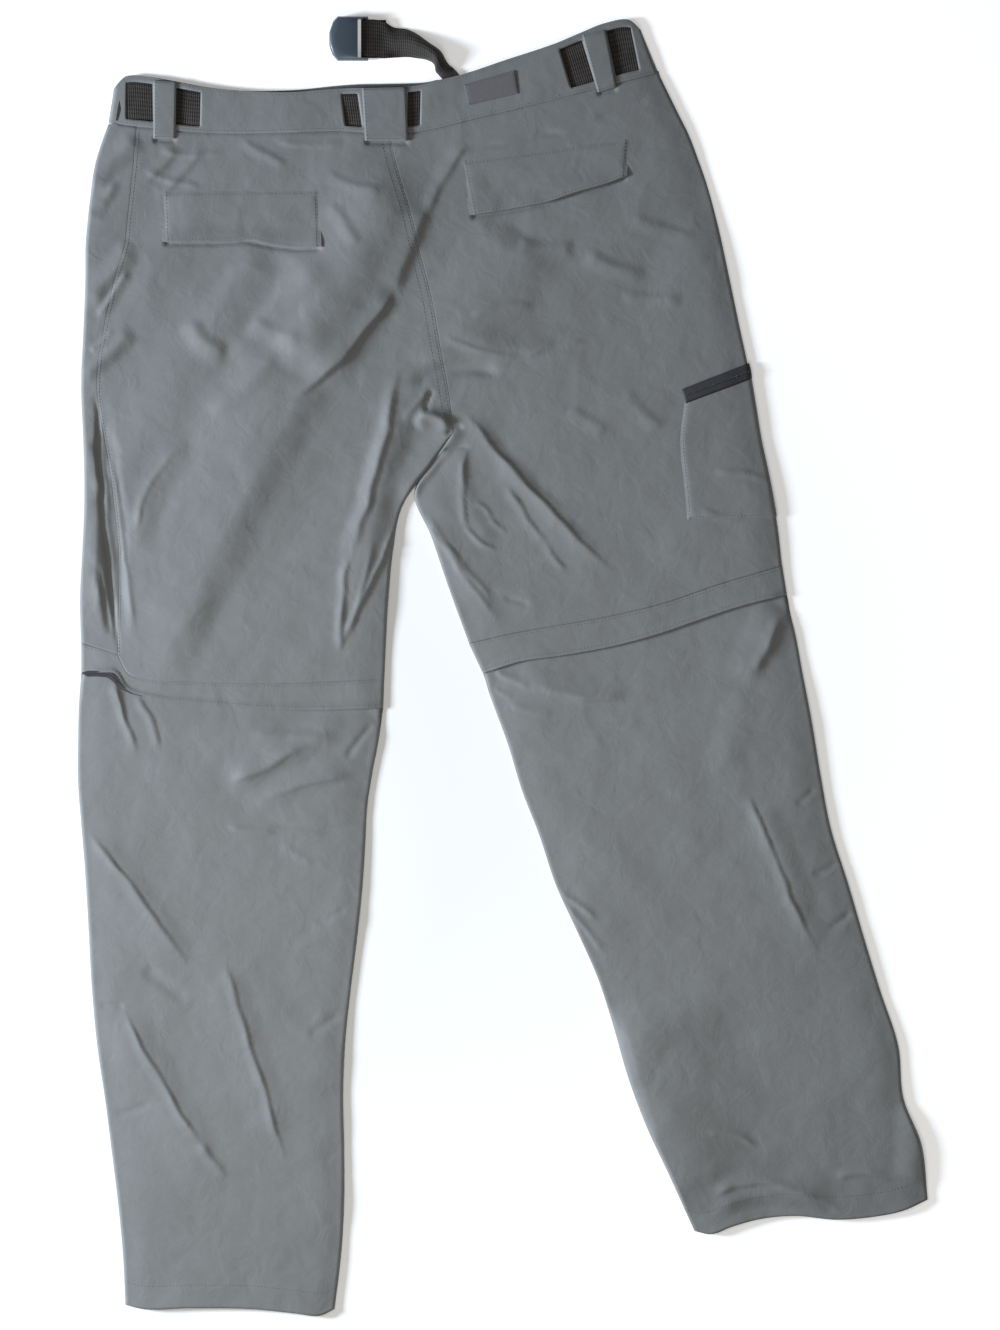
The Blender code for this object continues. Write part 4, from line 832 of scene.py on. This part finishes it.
def on_panel(panel, corners, across, down, lift):
    """A four-cornered piece that follows a panel, also round its folded side. Corners are plan
    points from top left, clockwise, each taken at the panel's nearest grid point."""
    cells = np.array(panel.shape[:2]) - 1
    nearest = [np.linalg.norm(panel[..., :2] - corner, axis=2).argmin() for corner in corners]
    place = four_cornered([np.array(np.unravel_index(point, panel.shape[:2])) / cells for point in nearest],
                          across, down)
    where = place[..., 0].ravel(), place[..., 1].ravel()
    points = sample(panel, *where).reshape(*place.shape[:2], 3)
    out = sample(normals(panel), *where).reshape(*place.shape[:2], 3)
    return points + out * lift[..., None]


def make_cargo(right, look, tape_look, teeth_look):
    """Cargo pocket on the right thigh, round its folded side, and the zip in its slanted mouth."""
    width, height = CARGO_SIZE
    across, down = np.append(spread(width, fine_end=False)[:-1], 1), spread(height)
    edge = np.minimum(across[None] * width, (1 - down)[:, None] * height)
    pocket = on_panel(right, CARGO, across, down, CARGO_LIFT - dip(edge, *CARGO_DIP))
    cloth("cargo_pocket_cloth", pocket, ["cargo_pocket"], look)
    across, down = np.linspace(0, 1, 34), np.linspace(0, 1, 7)
    bulge = ZIP_LIFT + ZIP_BULGE * np.sin(np.pi * down)[:, None] + 0 * across
    tape = on_panel(right, CARGO_ZIP, across, down, bulge)
    piece = shell("cargo_zip_tape", tape, tape - normals(tape) * TAPE_THICKNESS, tape_look)
    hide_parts("cargo_zip")
    stitches("cargo_zip_teeth", [tape[3, 1:-1] + (0, 0, 0.1)], teeth_look, "zip_tape", thick=0.7, **TEETH)
    return pocket


def belt_grid():
    """The webbing in the waistband: along the front, round both folds and along the back."""
    curve = through(list(WAIST.values()), 6)
    margin = (1 - WEBBING_WIDTH / WAISTBAND_HEIGHT) / 2
    rows = np.linspace(margin, 1 - margin, 7)[:, None, None]
    lines = (1 - rows) * curve[:, :2] + rows * curve[:, 2:4]
    radius = (BELT_BACK + WEBBING - BELT_FRONT) / 2
    inset = BELT_TURN + radius
    keep = (lines[:, :, 0] > lines[:, :1, 0] + inset + 2) & (lines[:, :, 0] < lines[:, -1:, 0] - inset - 2)
    keep = keep.all(axis=0)
    back = np.concatenate([lines[:, :1] + (inset, 0), lines[:, keep], lines[:, -1:] - (inset, 0)], axis=1)
    back = np.dstack([back, np.full(back.shape[:2], BELT_BACK + WEBBING)])
    front = back[:, ::-1] * (1, 1, 0) + (0, 0, BELT_FRONT)
    angle = np.radians(np.linspace(75, -75, 7))
    sweep = np.stack([np.cos(angle), 0 * angle, np.sin(angle)], axis=1) * radius
    middle = (0, 0, BELT_FRONT + radius - (BELT_BACK + WEBBING))
    right_turn = back[:, -1:] + middle + sweep
    left_turn = back[:, :1] + middle + sweep[::-1] * (-1, 1, 1)
    right_part = front[:, front[0, :, 0] > BELT_ENDS[1]]
    left_part = front[:, front[0, :, 0] < BELT_ENDS[0]]
    return np.concatenate([left_part, left_turn, back, right_turn, right_part], axis=1)


def strip_uv(grid):
    """UV in metres: along a strip's middle line, and across it."""
    middle = grid[len(grid) // 2]
    u = np.concatenate([[0], np.cumsum(np.linalg.norm(np.diff(middle, axis=0), axis=1))]) * MM
    v = np.linspace(0, WEBBING_WIDTH, len(grid)) * MM
    return np.dstack(np.broadcast_arrays(u[None, :], v[:, None]))


def arch(width, pressed, count):
    """Cross-section of the strap: an arc as long as the webbing is wide and as broad as width, and
    flat where pressed is 1. Places are shares of the width, and drops are below its crown."""
    half_turn = np.linspace(0.05, 2.6, 200)
    half = np.interp(-width / WEBBING_WIDTH, -np.sin(half_turn) / half_turn, half_turn)
    angle = np.linspace(-half, half, count)
    arc = np.sin(angle) / (2 * np.sin(half))
    drop = WEBBING_WIDTH / (2 * half) * (np.cos(angle) - 1)
    return (1 - pressed) * arc + pressed * np.linspace(-0.5, 0.5, count), (1 - pressed) * drop


def belt_end_grid():
    """The belt's free end: sewn back round the buckle's bar, then curling over behind the waistband."""
    count = 25
    rows = through(BELT_END, 6)
    sewn = [(SEWN_END_X, BAR_Z - BAR_TURN), (-118.5, BAR_Z - BAR_TURN), (-124, BAR_Z - BAR_TURN)]
    angles = np.radians(np.linspace(-90, -270, 17))
    sewn += [(BAR_X + BAR_TURN * np.cos(a), BAR_Z + BAR_TURN * np.sin(a)) for a in angles]
    across = np.linspace(0, 1, count)
    high, low = BELT_END[0][1], BELT_END[0][3]
    columns = [np.column_stack([np.full(count, x), high + (low - high) * across, np.full(count, z)])
               for x, z in sewn]
    for upper_x, upper_y, lower_x, lower_y, top, pressed in rows:
        upper, lower = np.array([upper_x, upper_y]), np.array([lower_x, lower_y])
        place, drop = arch(np.linalg.norm(upper - lower), np.clip(pressed, 0, 1), count)
        plan = (upper + lower) / 2 + place[:, None] * (lower - upper)
        columns.append(np.column_stack([plan, np.maximum(top + drop, WEBBING)]))
    return np.array(columns).transpose(1, 0, 2)


def make_belt(look):
    """The belt inside the waistband and its free end."""
    grid = belt_grid()
    inner = grid - normals(grid) * WEBBING
    piece = shell("belt_webbing", grid, inner, look, uv=strip_uv(grid))
    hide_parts("belt")
    grid = belt_end_grid()
    piece = shell("belt_free_end", grid, grid - normals(grid) * (WEBBING - 0.1), look,
                  uv=strip_uv(grid))
    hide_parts("belt_end")
    return grid


def stitches(name, rows, look, slot="nylon", pitch=3.3, length=2.3, thick=0.24):
    """Rows of stitches: an egg shape of two rings of five points at every pitch along each row."""
    turn = np.linspace(0, 2 * np.pi, 5, endpoint=False)
    ring = np.stack([0 * turn, np.cos(turn), np.sin(turn)], axis=1) * thick
    body = np.concatenate([[[-length / 2, 0, 0]], ring - (length / 4, 0, 0), ring + (length / 4, 0, 0),
                           [[length / 2, 0, 0]]])
    faces = [(0, 1 + (i + 1) % 5, 1 + i) for i in range(5)]
    faces += [(1 + i, 1 + (i + 1) % 5, 6 + (i + 1) % 5, 6 + i) for i in range(5)]
    faces += [(11, 6 + i, 6 + (i + 1) % 5) for i in range(5)]
    points, shapes = [], []
    for row in rows:
        count = max(1, int(np.linalg.norm(np.diff(row, axis=0), axis=1).sum() / pitch))
        centre = along(row, (np.arange(count) + 0.5) / count)
        ahead = along(row, (np.arange(count) + 0.9) / count) - centre
        ahead /= np.linalg.norm(ahead, axis=1)[:, None]
        aside = np.cross((0, 0, 1), ahead)
        aside /= np.linalg.norm(aside, axis=1)[:, None]
        axes = np.stack([ahead, aside, np.cross(ahead, aside)], axis=1)
        points.append((centre[:, None] + np.einsum("pk,nkc->npc", body, axes)).reshape(-1, 3))
    points = np.concatenate(points)
    first = np.arange(0, len(points), len(body))[:, None]
    for face in faces:
        shapes.extend((first + face).tolist())
    return put_mesh(name, points, shapes, look)


def row_along(grid, edge, inset, start=0.0, end=1.0):
    """Points on a grid at inset mm from one of its edges, a little over the cloth, between two shares
    of that edge's points."""
    down = grid.transpose(1, 0, 2)
    lines = {"top": grid, "bottom": grid[::-1], "left": down, "right": down[::-1]}[edge]
    step = np.linalg.norm(np.diff(lines, axis=0), axis=2)
    place = np.concatenate([np.zeros((1, lines.shape[1])), np.cumsum(step, axis=0)])
    after = np.clip((place < inset).sum(axis=0), 1, len(lines) - 1)
    pick = np.arange(lines.shape[1])
    low, high = place[after - 1, pick], place[after, pick]
    blend = ((inset - low) / (high - low))[:, None]
    row = lines[after - 1, pick] * (1 - blend) + lines[after, pick] * blend + (0, 0, 0.05)
    return row[int(start * len(row)):int(np.ceil(end * len(row)))]


def node(tree, kind, inputs=None, **settings):
    """A shader node with its settings and input values, or the sockets linked to its inputs."""
    made = tree.nodes.new(kind)
    for key, value in settings.items():
        setattr(made, key, value)
    for key, value in (inputs or {}).items():
        if isinstance(value, bpy.types.NodeSocket):
            tree.links.new(value, made.inputs[key])
        else:
            made.inputs[key].default_value = value
    return made


def blank(name, roughness, specular=0.4, sheen=0.0):
    """A new material: its node tree and its Principled shader."""
    material = bpy.data.materials.new(name)
    material.use_nodes = True
    shader = material.node_tree.nodes["Principled BSDF"]
    shader.inputs["Roughness"].default_value = roughness
    shader.inputs["Specular IOR Level"].default_value = specular
    shader.inputs["Sheen Weight"].default_value = sheen
    shader.inputs["Sheen Roughness"].default_value = 0.5
    return material, material.node_tree, shader


def ramp(tree, factor, stops):
    """A colour ramp of (position, colour) stops."""
    made = node(tree, "ShaderNodeValToRGB", {"Fac": factor})
    elements = made.color_ramp.elements
    elements[0].position, elements[1].position = stops[0][0], stops[-1][0]
    elements[0].color, elements[1].color = (*stops[0][1], 1), (*stops[-1][1], 1)
    for position, colour in stops[1:-1]:
        elements.new(position).color = (*colour, 1)
    return made.outputs["Color"]


def nylon_look():
    """Washed plain-woven nylon: faint mottling, fine crinkles and a close weave."""
    material, tree, shader = blank("washed_nylon", 0.62, 0.35, 0.12)
    where = node(tree, "ShaderNodeTexCoord").outputs["Object"]
    cloud = node(tree, "ShaderNodeTexNoise", {"Vector": where, "Scale": 7.0, "Detail": 3.0,
                                              "Roughness": 0.6})
    fleck = node(tree, "ShaderNodeTexNoise", {"Vector": where, "Scale": 95.0, "Detail": 4.0,
                                              "Roughness": 0.7})
    tone = node(tree, "ShaderNodeMix", {0: 0.35, 2: cloud.outputs["Fac"], 3: fleck.outputs["Fac"]},
                data_type="FLOAT")
    colour = ramp(tree, tone.outputs[0], ((0.28, NYLON_DARK), (0.5, NYLON), (0.72, NYLON_PALE)))
    tree.links.new(colour, shader.inputs["Base Color"])
    crinkle = node(tree, "ShaderNodeTexNoise", {"Vector": where, "Scale": 42.0, "Detail": 5.0,
                                                "Roughness": 0.55, "Distortion": 0.6})
    warp = node(tree, "ShaderNodeTexWave", {"Vector": where, "Scale": 330.0, "Distortion": 0.4,
                                            "Detail": 0.0}, bands_direction="X")
    weft = node(tree, "ShaderNodeTexWave", {"Vector": where, "Scale": 330.0, "Distortion": 0.4,
                                            "Detail": 0.0}, bands_direction="Y")
    weave = node(tree, "ShaderNodeMath", {0: warp.outputs["Fac"], 1: weft.outputs["Fac"]},
                 operation="MULTIPLY")
    coarse = node(tree, "ShaderNodeBump", {"Strength": 0.55, "Distance": 0.0016,
                                           "Height": crinkle.outputs["Fac"]})
    fine = node(tree, "ShaderNodeBump", {"Strength": 0.25, "Distance": 0.00015,
                                         "Height": weave.outputs[0], "Normal": coarse.outputs["Normal"]})
    tree.links.new(fine.outputs["Normal"], shader.inputs["Normal"])
    return material


def webbing_look():
    """Ribbed webbing: ribs across and along the strip in its own UV, with faded patches."""
    material, tree, shader = blank("ribbed_webbing", 0.72, 0.35, 0.15)
    where = node(tree, "ShaderNodeTexCoord").outputs["UV"]
    across = node(tree, "ShaderNodeTexWave", {"Vector": where, "Scale": 150.0, "Distortion": 0.8,
                                              "Detail": 1.0, "Detail Scale": 2.0}, bands_direction="X")
    lengthwise = node(tree, "ShaderNodeTexWave", {"Vector": where, "Scale": 85.0}, bands_direction="Y")
    ribs = node(tree, "ShaderNodeMix", {0: 0.45, 2: across.outputs["Fac"], 3: lengthwise.outputs["Fac"]},
                data_type="FLOAT")
    cloud = node(tree, "ShaderNodeTexNoise", {"Vector": node(tree, "ShaderNodeTexCoord").outputs["Object"],
                                              "Scale": 75.0, "Detail": 3.0})
    tone = node(tree, "ShaderNodeMix", {0: 0.6, 2: ribs.outputs[0], 3: cloud.outputs["Fac"]},
                data_type="FLOAT")
    colour = ramp(tree, tone.outputs[0], ((0.32, WEBBING_BROWN), (0.72, WEBBING_PALE)))
    tree.links.new(colour, shader.inputs["Base Color"])
    bump = node(tree, "ShaderNodeBump", {"Strength": 0.9, "Distance": 0.0005, "Height": ribs.outputs[0]})
    tree.links.new(bump.outputs["Normal"], shader.inputs["Normal"])
    return material


def grained_look(name, dark, pale, roughness, scale, depth, specular=0.5):
    """A plain finish with a fine grain: noise tints it between two colours and dents it by depth."""
    material, tree, shader = blank(name, roughness, specular)
    where = node(tree, "ShaderNodeTexCoord").outputs["Object"]
    grain = node(tree, "ShaderNodeTexNoise", {"Vector": where, "Scale": scale, "Detail": 4.0})
    tree.links.new(ramp(tree, grain.outputs["Fac"], ((0.3, dark), (0.7, pale))), shader.inputs["Base Color"])
    bump = node(tree, "ShaderNodeBump", {"Strength": 0.4, "Distance": depth, "Height": grain.outputs["Fac"]})
    tree.links.new(bump.outputs["Normal"], shader.inputs["Normal"])
    return material


def make_buckle(look):
    """The buckle half, from its solid with every edge rounded."""
    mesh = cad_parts["buckle"].data.copy()
    mesh.name = "side_release_buckle"
    work = bmesh.new()
    work.from_mesh(mesh)
    bmesh.ops.remove_doubles(work, verts=work.verts, dist=1e-6)
    bmesh.ops.dissolve_limit(work, angle_limit=0.02, verts=work.verts, edges=work.edges)
    work.to_mesh(mesh)
    work.free()
    mesh.materials.clear()
    mesh.materials.append(look)
    piece = bpy.data.objects.new("side_release_buckle", mesh)
    bpy.context.scene.collection.objects.link(piece)
    bevel = piece.modifiers.new("rounding", "BEVEL")
    bevel.width = 0.0006
    bevel.segments = 3
    bevel.limit_method = "ANGLE"
    mesh.shade_smooth()
    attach(piece, "root")
    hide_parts("buckle")
    return piece


def area_light(name, place, size, power, colour):
    """A soft square light aimed at the middle of the trousers."""
    light = bpy.data.lights.new(name, "AREA")
    light.shape = "SQUARE"
    light.size = size
    light.energy = power
    light.color = colour
    lamp = bpy.data.objects.new(name, light)
    lamp.location = place
    lamp.rotation_euler = (-Vector(place)).to_track_quat("-Z", "Y").to_euler()
    bpy.context.scene.collection.objects.link(lamp)


def make_studio():
    """White floor that glows more where less light falls, a low key light on the left, a soft light
    over the left leg and a camera straight above."""
    material, tree, shader = blank("white_floor", 0.9, 0.1)
    shader.inputs["Base Color"].default_value = (0.9, 0.9, 0.9, 1)
    shader.inputs["Emission Color"].default_value = (1, 1, 1, 1)
    away = node(tree, "ShaderNodeVectorMath", {0: node(tree, "ShaderNodeTexCoord").outputs["Object"],
                                               1: (-0.35, -0.15, 0)}, operation="DISTANCE")
    glow = node(tree, "ShaderNodeMapRange", {"Value": away.outputs["Value"], "From Min": 0.3,
                                             "From Max": 0.95, "To Min": 0.0, "To Max": 0.48})
    tree.links.new(glow.outputs["Result"], shader.inputs["Emission Strength"])
    mesh = bpy.data.meshes.new("floor")
    reach = 6.0
    mesh.from_pydata([(-reach, -reach, -0.0004), (reach, -reach, -0.0004), (reach, reach, -0.0004),
                      (-reach, reach, -0.0004)], [], [(0, 1, 2, 3)])
    mesh.materials.append(material)
    floor = bpy.data.objects.new("floor", mesh)
    bpy.context.scene.collection.objects.link(floor)

    world = bpy.data.worlds.new("studio")
    world.use_nodes = True
    background = world.node_tree.nodes["Background"]
    background.inputs["Color"].default_value = (1.0, 0.95, 0.91, 1)
    background.inputs["Strength"].default_value = 0.12
    bpy.context.scene.world = world
    area_light("key", (-3.0, 0.0, 1.05), 0.6, 196, (0.78, 0.87, 1.0))
    area_light("soft light", (-0.22, -0.40, 1.05), 0.7, 5.4, (1.0, 0.99, 0.93))

    camera = bpy.data.cameras.new("camera")
    camera.lens = 135
    camera.sensor_width = 36
    camera.clip_end = 50
    view = bpy.data.objects.new("camera", camera)
    view.location = (VIEW_X * MM, 0, VIEW_HEIGHT * MM * camera.lens / camera.sensor_width + 0.006)
    bpy.context.scene.collection.objects.link(view)
    bpy.context.scene.camera = view
    settings = bpy.context.scene.view_settings
    settings.view_transform = "Standard"
    settings.look = "None"


def main():
    """Every piece of the trousers, their stitching, and the studio."""
    nylon = nylon_look()
    thread = grained_look("thread", THREAD, THREAD, 0.7, 400, 0.0001)
    webbing = webbing_look()
    tape = grained_look("zip_tape_cloth", TAPE_BLACK, TAPE_PALE, 0.7, 600, 0.0002)
    teeth = grained_look("zip_teeth", TEETH_BLACK, TEETH_PALE, 0.35, 700, 0.00005)
    plastic = grained_look("moulded_plastic", BUCKLE_BLUE, BUCKLE_PALE, 0.3, 900, 0.00005)
    bare = grained_look("bare_patch_cloth", PATCH_GREY, PATCH_PALE, 0.75, 300, 0.0002)
    make_studio()

    left, right = make_panels(nylon)
    side = np.array([LEFT_SIDE[-1][:2], LEFT_SIDE[-1][2:]], float)
    left_seam = np.concatenate([along(side, np.linspace(0, 0.98, 12)), through(LEFT_ZIP_SEAM, 12)])
    left_band, left_lower = make_knee("left", left_seam, through(LEFT_BAND_EDGE, 12), LEFT_LOWER,
                                      through(LEFT_HEM, 12), nylon)
    right_band, right_lower = make_knee("right", through(RIGHT_ZIP_SEAM, 12), through(RIGHT_BAND_EDGE, 12),
                                        RIGHT_LOWER, through(RIGHT_HEM, 12), nylon)
    make_zip_end_and_shade_gap(tape, teeth)
    band = make_waistband(nylon)
    left_flap = make_flap("left_pocket_flap", "pocket_flap_left", LEFT_FLAP, nylon, (0.152, 0.052))
    right_flap = make_flap("right_pocket_flap", "pocket_flap_right", RIGHT_FLAP, nylon, (0.165, 0.05))
    loops = [make_loop("left_belt_loop", "belt_loop_left", LEFT_LOOP, nylon),
             make_loop("centre_belt_loop", "belt_loop_centre", CENTRE_LOOP, nylon),
             make_loop("right_belt_loop", "belt_loop_right", RIGHT_LOOP, nylon)]
    patch = make_patch(bare)
    pocket = make_cargo(right, nylon, tape, teeth)
    make_belt(webbing)
    make_buckle(plastic)

    seat = 0.53
    stitches("waistband_stitching", [row_along(band, "top", 2.5), row_along(band, "bottom", 2.5)], thread)
    stitches("seam_stitching", [row_along(left, "left", 2.5), row_along(left, "right", 3, end=seat),
                                row_along(left, "right", 9, end=seat)], thread)
    stitches("hem_stitching", [row_along(left_lower, "bottom", 22), row_along(right_lower, "bottom", 22)],
             thread)
    stitches("band_stitching", [row_along(grid, edge, 3.5) for grid in (left_band, right_band)
                                for edge in ("top", "bottom")], thread)
    stitches("flap_stitching", [row_along(flap, edge, inset) for flap in (left_flap, right_flap)
                                for edge, inset in (("bottom", 2.5), ("left", 5), ("right", 5), ("top", 5))],
             thread)
    stitches("loop_stitching", [row_along(loop, edge, 2.2) for loop in loops for edge in ("left", "right")],
             thread)
    stitches("loop_tacks", [row_along(loop, edge, 2.0) for loop in loops for edge in ("top", "bottom")],
             thread, pitch=1.3, length=1.8)
    stitches("pocket_stitching", [row_along(pocket, "left", 2.5), row_along(pocket, "bottom", 2.5)], thread)
    stitches("patch_stitching", [row_along(patch, edge, 1.5) for edge in ("top", "bottom", "left", "right")],
             thread, pitch=2.4, length=1.7, thick=0.25)
    for name in ("knee_zip_left", "knee_zip_right"):
        node_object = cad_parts[name]
        node_object.data.materials.clear()
        node_object.data.materials.append(tape)


main()
